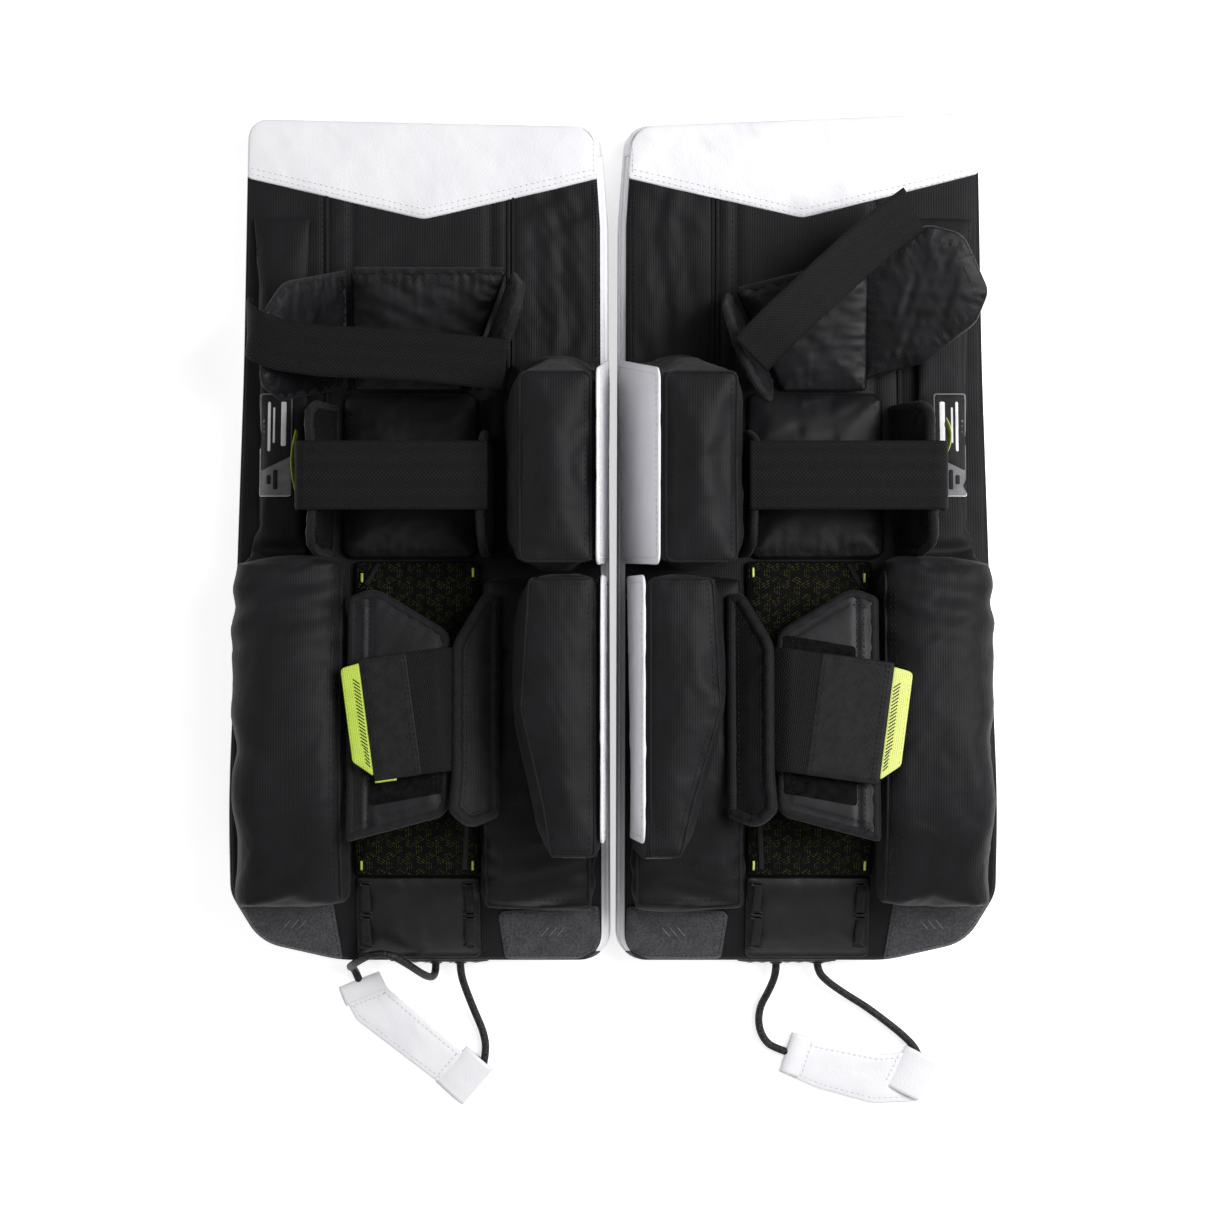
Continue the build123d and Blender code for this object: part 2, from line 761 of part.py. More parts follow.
def build(pose):
    pieces = {
        "face_cover": face_cover(), "back_cover": back_cover(), "foam_core": foam_core(),
        "stiffener_plate": stiffener_plate(), "thigh_panel": thigh_panel(), "outer_roll": outer_roll(),
        "inner_roll": inner_roll(), "shin_liner": shin_liner(), "boot_panel": boot_panel(),
        "laces": laces(), "sewn_patches": sewn_patches(),
        "knee_block": knee_block(pose), "calf_block": calf_block(pose),
        "landing_faces": landing_faces(pose),
        "knee_cradle": knee_cradle(), "knee_cradle_inner_wing": knee_cradle_inner_wing(pose),
        "knee_cradle_outer_wing": knee_cradle_outer_wing(pose), "knee_strap": knee_strap(pose),
        "knee_wrap_center": knee_wrap_center(pose), "knee_wrap_outer_wing": knee_wrap_outer_wing(pose),
        "knee_wrap_inner_wing": knee_wrap_inner_wing(pose), "knee_wrap_strap": knee_wrap_strap(pose),
        "calf_flap": calf_flap(), "calf_wing": calf_wing(), "calf_strap": calf_strap(pose),
        "calf_strap_tab": calf_strap_tab(pose),
        "toe_bridge": toe_bridge(), "toe_tab": toe_tab(pose),
    }
    for name, route in pose.cords.items():
        pieces[f"toe_cord_{name}"] = cord(route, f"{pose.side} {name} toe cord")
    for name, shape in pieces.items():
        write(name, shape, pose)


for pad in (LEFT, RIGHT):
    build(pad)
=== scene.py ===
"""A pair of goalie leg pads lying on their faces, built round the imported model."""
import math

import bpy
import numpy as np
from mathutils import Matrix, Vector
from mathutils.bvhtree import BVHTree
from mathutils.geometry import delaunay_2d_cdt


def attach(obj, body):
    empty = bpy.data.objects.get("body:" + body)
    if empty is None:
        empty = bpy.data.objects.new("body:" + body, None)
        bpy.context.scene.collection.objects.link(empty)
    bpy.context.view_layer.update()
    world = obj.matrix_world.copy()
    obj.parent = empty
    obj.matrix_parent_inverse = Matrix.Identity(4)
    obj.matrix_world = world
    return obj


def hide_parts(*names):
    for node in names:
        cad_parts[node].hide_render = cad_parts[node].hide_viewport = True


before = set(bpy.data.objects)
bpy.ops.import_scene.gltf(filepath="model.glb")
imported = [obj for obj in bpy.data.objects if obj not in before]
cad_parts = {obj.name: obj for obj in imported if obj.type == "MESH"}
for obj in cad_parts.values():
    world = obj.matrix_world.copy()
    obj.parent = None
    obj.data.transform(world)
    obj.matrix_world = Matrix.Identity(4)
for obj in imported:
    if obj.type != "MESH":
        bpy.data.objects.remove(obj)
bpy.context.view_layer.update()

TAU = 2 * math.pi

# ---------------------------------------------------------------- sizes, in millimetres
TOE = -322.0  # the boot's end
SLAB = 42.0  # the slab, from its face to its back
OVER = SLAB + 0.3  # where pieces sewn on the back start
KNEE_BEND = (130.0, 0.0, 420.0)  # y, z and radius of the face line's bends
ANKLE_BEND = (-190.0, 45.0, 90.0)
BLOCK_TOP = 182.0
CRADLE_TOP = 142.0
CRADLE_INNER = 102.0
LEAN_FROM = 40.0  # the height that blocks and wings lean from
WING = 12.0  # a foam wing's thickness
WING_CLEARANCE = 0.7
OUTER_WING_LEAN = 8.0  # the cradle's outer wing leans this much more than its inner one
WIDE_WEBBING, NARROW_WEBBING = 50.8, 38.1
WRAP_COS, WRAP_SIN = 0.97815, 0.20791  # the knee wrap is tilted 12 degrees
CALF_COS, CALF_SIN = 0.99026, 0.13926  # and the calf wrap lies along the shin
STRAP_ROOT = 104.0  # where the calf strap starts
LAYER, REACH = 2.0, 330  # the side line's table: between its layers, and along the pad each way
LACE_COLUMNS, LACE_ROWS = (109.0, 187.5), (-273.0, -299.0)
FOLD_MIDDLE = 5.35  # height of the middle of the toe strap's folds

RIGHT = dict(
    name="right", sign=1, seed=40,
    patch_top=56.0, knee_lean=30.0, calf_lean=19.0, cradle_lean=16.0,
    panel=[(129, 0.6), (92, 78), (193, 102), (193, 0.6)],
    wing_root=193.0, wing_slope=7.0, inner_lean=-8.0,
    wing=[(-2.6, 9), (-2.6, 106), (43, 128), (70, 121), (90, 78), (81, 54), (43, 23)],
    wing_radii=[1, 1, 18, 20, 14, 20, 40],
    wrap_strap=[(101, 133, 142.5), (122, 155, 143), (150, 181, 136), (180, 209, 122), (205, 230.5, 108),
                (225, 245.5, 98)],
    thigh_pull=5.0, wrap_across=(-0.6, 0.66, 0.45), strap_end=203.0,
    # the lime is painted paler on this pad than on the left one: a painted highlight for light from the right
    tab_lime="#eef98a", tab_low=64.0, tab_long=22.0,
    toe_tab=[(138.8, -59.4), (160, -68), (205, -77), (233, -75), (252.5, -82), (237, -113.6),
             (201.6, -115.2), (158.9, -103.6), (128.7, -90.4)],
    toe_folds=[((138.8, -59.4), (128.7, -90.4), 16), ((252.5, -82), (237, -113.6), 28)],
    toe_cords={
        "inner": (0.088, [(126, -327.6, 16), (126.3, -335, 15.4), (121, -349.5, 9), (113.5, -363, 6),
                          (113, -378.5, 5.5), (118.8, -390, 5.5), (127, -394.7, 5.5), (137.5, -398.2, 5.5)]),
        "outer": (0.118, [(158, -327.6, 16), (158.6, -334, 15.6), (166, -342, 12.5), (180, -352, 8),
                          (195.5, -361.5, 6), (211, -373, 5.5), (225.5, -384.5, 5.5), (236.5, -396, 5.5),
                          (239.5, -407, 5.5)]),
    },
)
LEFT = dict(
    name="left", sign=-1, seed=10,
    patch_top=-6.0, knee_lean=8.0, calf_lean=5.0, cradle_lean=4.0,
    panel=[(114, 0.6), (80, 93), (198, 93), (198, 0.6)],
    wing_root=198.0, wing_slope=55.0, inner_lean=-12.0,
    wing=[(0, 2), (0, 92), (70, 90), (98, 66), (98, 16), (78, 2)],
    wing_radii=[1, 1, 24, 18, 12, 12],
    wrap_strap=[(79, 126, 139.5), (106, 129, 140.5), (140, 132.5, 142), (178, 134.5, 144), (215, 136, 145.5),
                (246, 140.5, 146.5), (262, 147, 146.5), (268.5, 154, 141), (270, 158, 129), (268, 158, 117)],
    thigh_pull=0.0, wrap_across=(0.0, 0.978, 0.208), strap_end=183.0,
    # the same lime painted darker on this pad: painted shade, this pad being further from the key lamp
    tab_lime="#c9e450", tab_low=34.0, tab_long=44.0,
    toe_tab=[(213, -25), (181.5, -12.7), (175, -25.7), (113, -78.5), (92.5, -88.8),
             (116.9, -116.6), (129, -104), (199, -50.6)],
    toe_folds=[((181.5, -12.7), (213, -25), 16), ((92.5, -88.8), (116.9, -116.6), 28)],
    toe_cords={
        "outer": (0.167, [(137, -327.6, 16), (137, -334, 16.4), (139, -337.5, 27), (145, -333.5, 43),
                          (156, -323.5, 60), (170, -314.5, 68.5), (184, -315.5, 66.5), (195, -322, 56),
                          (200.5, -327, 40), (202.5, -329, 27), (202, -330.5, 15), (199.8, -334.5, 6.2),
                          (196, -344, 5.5)]),
        "inner": (0.087, [(118, -327.6, 16), (117.8, -336, 15.4), (113, -351, 10), (107, -366.5, 7),
                          (100.5, -381.5, 5.5), (98, -396, 5.5), (101, -409.5, 5.5)]),
    },
)


# ---------------------------------------------------------------- camera and cords
def camera():
    """Straight over the pads, far enough back that their sides barely show."""
    data = bpy.data.cameras.new("camera")
    data.lens, data.sensor_width = 99.1, 36.0
    data.clip_end = 20.0
    seen = bpy.data.objects.new("camera", data)
    seen.location = (-0.0046, -0.052, 2.6)
    bpy.context.collection.objects.link(seen)
    bpy.context.scene.camera = seen


def toe_cord(side, name, finish):
    """A limp elastic cord from the boot's end to a fold of the toe strap."""
    length, route = side["toe_cords"][name]
    curve = bpy.data.curves.new(f"{side['name']}_toe_cord_{name}", "CURVE")
    curve.dimensions, curve.bevel_depth, curve.bevel_resolution, curve.resolution_u = "3D", 0.003, 4, 8
    curve.use_fill_caps = True
    line = curve.splines.new("NURBS")
    line.points.add(len(route) - 1)
    for point, (u, y, z) in zip(line.points, route):
        point.co = (side["sign"] * u / 1000, y / 1000, z / 1000, 1)
    line.order_u, line.use_endpoint_u = 3, True
    curve.materials.append(finish)
    piece = bpy.data.objects.new(f"{side['name']}_toe_cord_{name}_braid", curve)
    bpy.context.collection.objects.link(piece)
    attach(piece, f"{side['name']}_pad")
    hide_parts(curve.name)
    start = tuple(line.points[0].co[:3])


# ---------------------------------------------------------------- finishes
def linear(text):
    """An sRGB hex colour as linear RGBA."""
    parts = [int(text[i:i + 2], 16) / 255 for i in (1, 3, 5)]
    return (*[c / 12.92 if c <= 0.04045 else ((c + 0.055) / 1.055) ** 2.4 for c in parts], 1.0)


def add(finish, kind, inputs=None, **settings):
    """Adds a node. Each input takes a value, or another node's output."""
    made = finish.node_tree.nodes.new("ShaderNode" + kind)
    for name, value in settings.items():
        setattr(made, name, value)
    for name, value in (inputs or {}).items():
        if isinstance(value, bpy.types.NodeSocket):
            finish.node_tree.links.new(value, made.inputs[name])
        else:
            made.inputs[name].default_value = value
    return made


def blank_finish(name):
    """A new material with no nodes."""
    finish = bpy.data.materials.new(name)
    finish.use_nodes = True
    finish.node_tree.nodes.clear()
    return finish


def surface(finish, colour, height, deep, **gloss):
    """Closes a finish: its colour, a bump of that depth in millimetres, and the shader's own values."""
    bump = add(finish, "Bump", {"Height": height, "Distance": deep / 1000, "Strength": 1.0})
    values = {"Base Color": colour, "Normal": bump.outputs[0]}
    values.update({name.replace("_", " "): value for name, value in gloss.items()})
    shader = add(finish, "BsdfPrincipled", values)
    add(finish, "OutputMaterial", {"Surface": shader.outputs[0]})
    return finish


def threads(finish, wide, tall, spin=0.0):
    """Threads over one another, from 0 to 1, and the ribs alone; wide and tall are their spacings in mm."""
    lay = add(finish, "UVMap", uv_map="lay").outputs[0]
    lay = add(finish, "Mapping", {"Vector": lay, "Rotation": (0, 0, math.radians(spin))}).outputs[0]
    # a wave texture's bands are 0.314 of its unit apart
    across = add(finish, "TexWave", {"Vector": lay, "Scale": 314.16 / wide}, bands_direction="X")
    along = add(finish, "TexWave", {"Vector": lay, "Scale": 314.16 / tall}, bands_direction="Y")
    return add(finish, "Math", {0: across.outputs["Fac"], 1: along.outputs["Fac"]},
               operation="MULTIPLY").outputs[0], across.outputs["Fac"]


def cloudy(finish, size, detail=3.0):
    """Slow uneven change over the piece, from 0 to 1, with patches of that size in millimetres."""
    place = add(finish, "TexCoord").outputs["Object"]
    return add(finish, "TexNoise", {"Vector": place, "Scale": 1000 / size, "Detail": detail}).outputs["Fac"]


def cells(finish, size):
    """Small cells of that size in millimetres, from 0 at each one's middle up."""
    place = add(finish, "TexCoord").outputs["Object"]
    return add(finish, "TexVoronoi", {"Vector": place, "Scale": 1000 / size}).outputs["Distance"]


def tint(finish, factor, dark, pale, low=0.3, high=0.7):
    """A colour between two, over part of a factor's range."""
    ramp = add(finish, "ValToRGB", {"Fac": factor})
    ends = ramp.color_ramp.elements
    ends[0].position, ends[0].color = low, linear(dark)
    ends[1].position, ends[1].color = high, linear(pale)
    return ramp.outputs["Color"]


def mix(finish, a, b, share=0.5):
    """Two heights as one."""
    return add(finish, "Mix", {"Factor": share, 2: a, 3: b}).outputs[0]


def white_synthetic_leather():
    """Polyurethane skin on a backing: fine pores and a soft satin shine."""
    finish = blank_finish("white_synthetic_leather")
    colour = tint(finish, cloudy(finish, 60), "#e7e7eb", "#f2f2f5")
    return surface(finish, colour, mix(finish, cells(finish, 1.6), cloudy(finish, 14, 6), 0.6), 0.35,
                   Roughness=0.42)


def black_nylon():
    """Woven pack cloth: ribs along the pad with finer threads across, and a faint sheen."""
    finish = blank_finish("black_nylon")
    _, ribs = threads(finish, 1.9, 1.7)
    slubs = cloudy(finish, 5, 4)
    colour = tint(finish, mix(finish, ribs, cloudy(finish, 35), 0.8), "#0c0c0d", "#1b1b1e", 0.2, 0.8)
    return surface(finish, colour, mix(finish, ribs, slubs, 0.6), 0.2, Roughness=0.58,
                   Specular_IOR_Level=0.17, Sheen_Weight=0.03, Sheen_Roughness=0.4)


def satin_lining():
    """Light filament nylon: smooth, so that its gathers catch the light."""
    finish = blank_finish("satin_lining")
    weave, _ = threads(finish, 1.4, 1.4, 35)
    colour = tint(finish, cloudy(finish, 25), "#0a090b", "#161418")
    return surface(finish, colour, mix(finish, weave, cloudy(finish, 9, 5), 0.6), 0.3, Roughness=0.4,
                   Specular_IOR_Level=0.25, Sheen_Weight=0.03, Sheen_Roughness=0.3)


def edge_binding():
    """Folded knit tape round a cut edge: fine cross ribs, duller than the cloth."""
    finish = blank_finish("edge_binding")
    weave, ribs = threads(finish, 1.6, 1.2)
    colour = tint(finish, mix(finish, ribs, cloudy(finish, 12)), "#0c0b0d", "#1a181c")
    return surface(finish, colour, weave, 0.3, Roughness=0.62, Specular_IOR_Level=0.22, Sheen_Weight=0.05,
                   Sheen_Roughness=0.4)


def printed_liner():
    """Brushed knit lining, black and matt."""
    finish = blank_finish("patterned_liner")
    weave, _ = threads(finish, 1.5, 1.5)
    colour = tint(finish, cloudy(finish, 4, 5), "#060606", "#111110")
    return surface(finish, colour, mix(finish, weave, cloudy(finish, 2), 0.5), 0.4, Roughness=0.85,
                   Specular_IOR_Level=0.1)


def liner_print():
    """Dull olive ink in the knit."""
    finish = blank_finish("liner_print")
    colour = tint(finish, cloudy(finish, 8), "#34340f", "#585824")
    return surface(finish, colour, cloudy(finish, 1.2), 0.1, Roughness=0.8, Specular_IOR_Level=0.1)


def smooth_black_panel():
    """Coated sheet with an almost plain surface and a soft shine."""
    finish = blank_finish("smooth_black_panel")
    colour = tint(finish, cloudy(finish, 20), "#0b0b0c", "#151517")
    return surface(finish, colour, mix(finish, cells(finish, 1.1), cloudy(finish, 18, 4)), 0.2, Roughness=0.45,
                   Specular_IOR_Level=0.35)


def flat_lace():
    """Flat polyester braid, its strands crossing at a slant."""
    finish = blank_finish("flat_lace")
    weave, _ = threads(finish, 1.3, 1.3, 45)
    colour = tint(finish, weave, "#09090a", "#242427", 0.1, 0.7)
    return surface(finish, colour, weave, 0.4, Roughness=0.55, Specular_IOR_Level=0.25)


def dark_grey_patch():
    """Pebbled grey synthetic leather, embossed harder than the white."""
    finish = blank_finish("dark_grey_patch")
    pebbles = cells(finish, 1.9)
    colour = tint(finish, mix(finish, pebbles, cloudy(finish, 10)), "#303034", "#49494d")
    return surface(finish, colour, pebbles, 0.4, Roughness=0.5, Specular_IOR_Level=0.3)


def elastic_webbing():
    """Knitted elastic: rubber ribs lengthwise under threads that cross in small diamonds."""
    finish = blank_finish("elastic_webbing")
    diamonds, _ = threads(finish, 2.0, 2.0, 45)
    _, ribs = threads(finish, 1.6, 1.6)
    colour = tint(finish, mix(finish, diamonds, cloudy(finish, 3, 4), 0.4), "#0a0a0a", "#1c1c1d", 0.15, 0.75)
    return surface(finish, colour, mix(finish, diamonds, ribs, 0.4), 0.45, Roughness=0.7,
                   Specular_IOR_Level=0.15)


def loop_pile():
    """Fuzzy loop side of a touch fastening."""
    finish = blank_finish("loop_pile")
    fuzz = cloudy(finish, 1.1, 5)
    colour = tint(finish, mix(finish, fuzz, cloudy(finish, 6)), "#050505", "#19191a", 0.35, 0.65)
    return surface(finish, colour, fuzz, 0.9, Roughness=0.95, Specular_IOR_Level=0.05, Sheen_Weight=0.03)


def lime_webbing(name, colour):
    """Bright woven nylon tape with fine cross ribs."""
    finish = blank_finish(name)
    weave, _ = threads(finish, 1.5, 1.2)
    shade = "#" + "".join(f"{int(int(colour[i:i + 2], 16) * 0.88):02x}" for i in (1, 3, 5))
    return surface(finish, tint(finish, mix(finish, weave, cloudy(finish, 8)), shade, colour), weave, 0.25,
                   Roughness=0.5)


def printed_label(name, dark, pale):
    """Smooth woven label with heat-set ink."""
    finish = blank_finish(name)
    weave, _ = threads(finish, 0.9, 0.9)
    return surface(finish, tint(finish, cloudy(finish, 6), dark, pale), weave, 0.12, Roughness=0.55,
                   Specular_IOR_Level=0.2)


def sewing_thread(name, dark, pale):
    """Twisted polyester thread with a small shine along its top."""
    finish = blank_finish(name)
    return surface(finish, tint(finish, cloudy(finish, 3), dark, pale), cloudy(finish, 0.6), 0.15,
                   Roughness=0.5, Specular_IOR_Level=0.3)


def bungee_cord():
    """Rubber cord in a tight braided sheath."""
    finish = blank_finish("bungee_cord")
    braid = cells(finish, 1.7)
    colour = tint(finish, braid, "#2a2a2c", "#0d0d0e", 0.1, 0.75)
    return surface(finish, colour, braid, -0.5, Roughness=0.5, Specular_IOR_Level=0.3)


def closed_cell_foam(name, dark, pale):
    """Cut foam: small open pores and no shine."""
    finish = blank_finish(name)
    pores = cells(finish, 1.3)
    return surface(finish, tint(finish, pores, dark, pale), pores, 0.5, Roughness=0.9)


def moulded_plastic(name, dark, pale):
    """Moulded polyethylene: an even satin surface with a faint ripple."""
    finish = blank_finish(name)
    return surface(finish, tint(finish, cloudy(finish, 12), dark, pale), cloudy(finish, 2.5), 0.1,
                   Roughness=0.45)


# ---------------------------------------------------------------- lines and fills
def unit(v):
    return np.asarray(v, float) / np.linalg.norm(v)


def heading(path, closed=False):
    """The direction of a path at each of its points, of length 1."""
    run = np.roll(path, -1, 0) - np.roll(path, 1, 0) if closed else np.gradient(path, axis=0)
    return run / np.linalg.norm(run, axis=1)[:, None]


def distances(path):
    """How far along a path each of its points is."""
    return np.r_[0, np.cumsum(np.linalg.norm(np.diff(path, axis=0), axis=1))]


def quads(a, b, count, closed=True):
    """Faces between two rows of that many points, which start at a and b."""
    steps = [(i, (i + 1) % count) for i in range(count if closed else count - 1)]
    return [(a + i, a + j, b + j, b + i) for i, j in steps]


def straight(u, y, h):
    """Places taken as they are, h being the height over the floor."""
    return u, y, h


def even(path, step, closed=False):
    """The same path with points evenly spaced, about step apart."""
    path = np.asarray(path, float)
    loop = np.vstack([path, path[:1]]) if closed else path
    far = distances(loop)
    count = max(4 if closed else 2, round(far[-1] / step) + 1)
    spots = np.linspace(0, far[-1], count)[:-1] if closed else np.linspace(0, far[-1], count)
    return np.stack([np.interp(spots, far, axis) for axis in loop.T], 1)


def rounded(corners, radii=0.0, step=3.0, closed=True):
    """A polygon or a run of straight lines with rounded corners, in 2 or 3 dimensions."""
    corners = [np.asarray(c, float) for c in corners]
    radii = list(radii) if hasattr(radii, "__len__") else [radii] * len(corners)
    path = []
    for i, (corner, radius) in enumerate(zip(corners, radii)):
        if radius <= 0 or (not closed and i in (0, len(corners) - 1)):
            path.append(corner)
            continue
        back, on = corners[i - 1] - corner, corners[(i + 1) % len(corners)] - corner
        short = 0.48 * min(np.linalg.norm(back), np.linalg.norm(on))
        back, on = unit(back), unit(on)
        half = math.acos(np.clip(back @ on, -1, 1)) / 2
        if half > 1.54:
            path.append(corner)
            continue
        reach = min(radius / math.tan(half), short)
        radius, wide = reach * math.tan(half), math.pi - 2 * half
        centre = corner + unit(back + on) * radius / math.sin(half)
        first, last = corner + back * reach - centre, corner + on * reach - centre
        for t in np.linspace(0, 1, max(3, int(radius * wide / step) + 2)):
            spoke = math.sin((1 - t) * wide) * first + math.sin(t * wide) * last
            path.append(centre + spoke / math.sin(wide))
    path = even(path, step, closed)
    if closed and path.shape[1] == 2:
        x, y = path.T
        if np.sum(x * np.roll(y, -1) - y * np.roll(x, -1)) < 0:
            path = path[::-1]
    return path


def inset(outline, amount, closed=True):
    """An outline, or a run of one, drawn in by that much."""
    along = heading(outline, closed)
    return outline + amount * np.stack([-along[:, 1], along[:, 0]], 1)


def apart_from(line, points, closed=True):
    """Each point's distance from a line, and how far along the line its nearest spot is."""
    starts = line if closed else line[:-1]
    run = (np.roll(line, -1, 0) if closed else line[1:]) - starts
    long = np.linalg.norm(run, axis=1)
    far = np.r_[0, np.cumsum(long)[:-1]]
    apart, along = np.empty(len(points)), np.empty(len(points))
    for k in range(0, len(points), 2000):
        gap = points[k:k + 2000, None] - starts
        t = np.clip((gap * run).sum(2) / long ** 2, 0, 1)
        away = np.linalg.norm(gap - t[..., None] * run, axis=2)
        near = away.argmin(1)
        rows = np.arange(len(near))
        apart[k:k + 2000], along[k:k + 2000] = away[rows, near], far[near] + t[rows, near] * long[near]
    return apart, along


def box(low, high, radii, step=3.0):
    """A rectangle between two corners, rounded."""
    (u0, v0), (u1, v1) = low, high
    return rounded([(u0, v0), (u1, v0), (u1, v1), (u0, v1)], radii, step)


def inside(outline, points):
    """Which points lie inside a closed outline."""
    (x0, y0), (x1, y1) = outline.T, np.roll(outline, -1, 0).T
    x, y = points[:, :1], points[:, 1:]
    cross = (y0 > y) != (y1 > y)
    with np.errstate(divide="ignore", invalid="ignore"):
        hit = cross & (x < (x1 - x0) * (y - y0) / (y1 - y0) + x0)
    return hit.sum(1) % 2 == 1


def fill(outline, step, rings=()):
    """Points (the outline's first) and triangles across a closed outline."""
    low, high = outline.min(0), outline.max(0)
    rows = np.arange(low[1], high[1], step * 0.87)
    grid = np.array([(x + step / 2 * (j % 2), y) for j, y in enumerate(rows)
                     for x in np.arange(low[0], high[0], step)])
    grid = grid[inside(outline, grid)]
    grid = grid[apart_from(outline, grid)[0] > (rings[-1] if rings else 0) + step * 0.55]
    loops = [inset(outline, ring) for ring in rings]
    loops = [loop[inside(outline, loop) & (apart_from(outline, loop)[0] > ring * 0.8)]
             for loop, ring in zip(loops, rings)]
    points = np.vstack([outline, *loops, grid])
    made = delaunay_2d_cdt([Vector(p) for p in points], [], [list(range(len(outline)))], 1, 1e-4)
    first = [where[0] for where in made[3]]
    return points, [tuple(first[i] for i in face) for face in made[2]]


def crumple(x, y, size, seed):
    """Soft uneven folds, about -1 to 1 high and that size apart."""
    draw = np.random.default_rng(seed)
    total = 0 * x
    for _ in range(6):
        turn, phase, stretch = draw.uniform(0, TAU), draw.uniform(0, TAU), draw.uniform(0.6, 1.8)
        total = total + np.sin((x * math.cos(turn) + y * math.sin(turn)) * TAU / (size * stretch) + phase
                               + 0.9 * total)
    return total / 4


def gathers(along, apart, pitch, reach, seed):
    """Puckers that run in from a sewn edge, deepest beside it."""
    phase = along * TAU / pitch + 1.8 * np.sin(along / pitch * 0.9 + seed) + 0.5 * np.sin(apart * 0.35 + along)
    return (np.sin(phase) + 0.5 * np.sin(phase * 1.7 + seed)) * np.exp(-apart / reach)


# ---------------------------------------------------------------- the slab's side line
def side_line():
    """Points and normals along the pad's face, from the thigh end to the toe end, as (y, z)."""
    over = 25.0
    fall = unit((TOE - ANKLE_BEND[0], -ANKLE_BEND[1]))
    end = (TOE + over * fall[0], over * fall[1])
    line = rounded([(322 + over, 0), KNEE_BEND[:2], ANKLE_BEND[:2], end], [0, KNEE_BEND[2], ANKLE_BEND[2], 0],
                   1.0, closed=False)
    run = heading(line)
    return line, np.stack([run[:, 1], -run[:, 0]], 1)


LINE, NORMAL = side_line()
ABOVE = np.arange(0, 141, LAYER)
ALONG = np.arange(-REACH, REACH + 1.0)
TABLE = np.array([np.interp(ALONG, *(LINE + d * NORMAL)[::-1].T) for d in ABOVE])


def rise(y, above):
    """Height over the floor of the line that is that far above the pad's face."""
    y, above = np.broadcast_arrays(np.asarray(y, float), np.asarray(above, float))
    row = np.clip(above / LAYER, 0, len(ABOVE) - 1.001)
    column = np.clip(y + REACH, 0, len(ALONG) - 1.001)
    r, c = row.astype(int), column.astype(int)
    fr, fc = row - r, column - c
    return ((TABLE[r, c] * (1 - fc) + TABLE[r, c + 1] * fc) * (1 - fr)
            + (TABLE[r + 1, c] * (1 - fc) + TABLE[r + 1, c + 1] * fc) * fr)


def over_pad(base):
    """Places (u, y, height) on the layer that starts that far above the pad's face."""
    return lambda u, y, h: (u, y, rise(y, np.maximum(base + h, 0)))


def wrap_place(u, a, h):
    """On the knee wrap's plane, through the middle of its panel."""
    return u, 112 + WRAP_COS * a - WRAP_SIN * h, 55.31 + WRAP_SIN * a + WRAP_COS * h


def calf_place(u, a, h):
    """On top of the inner roll, a running up the shin."""
    return u, -130 + CALF_COS * a + CALF_SIN * h, 111.29 - CALF_SIN * a + CALF_COS * h


def stack(place, u, v, h):
    """Points put in place, one to a row."""
    u, v, h = np.broadcast_arrays(u, v, h)
    return np.stack(place(u.astype(float), v.astype(float), h.astype(float)), 1)


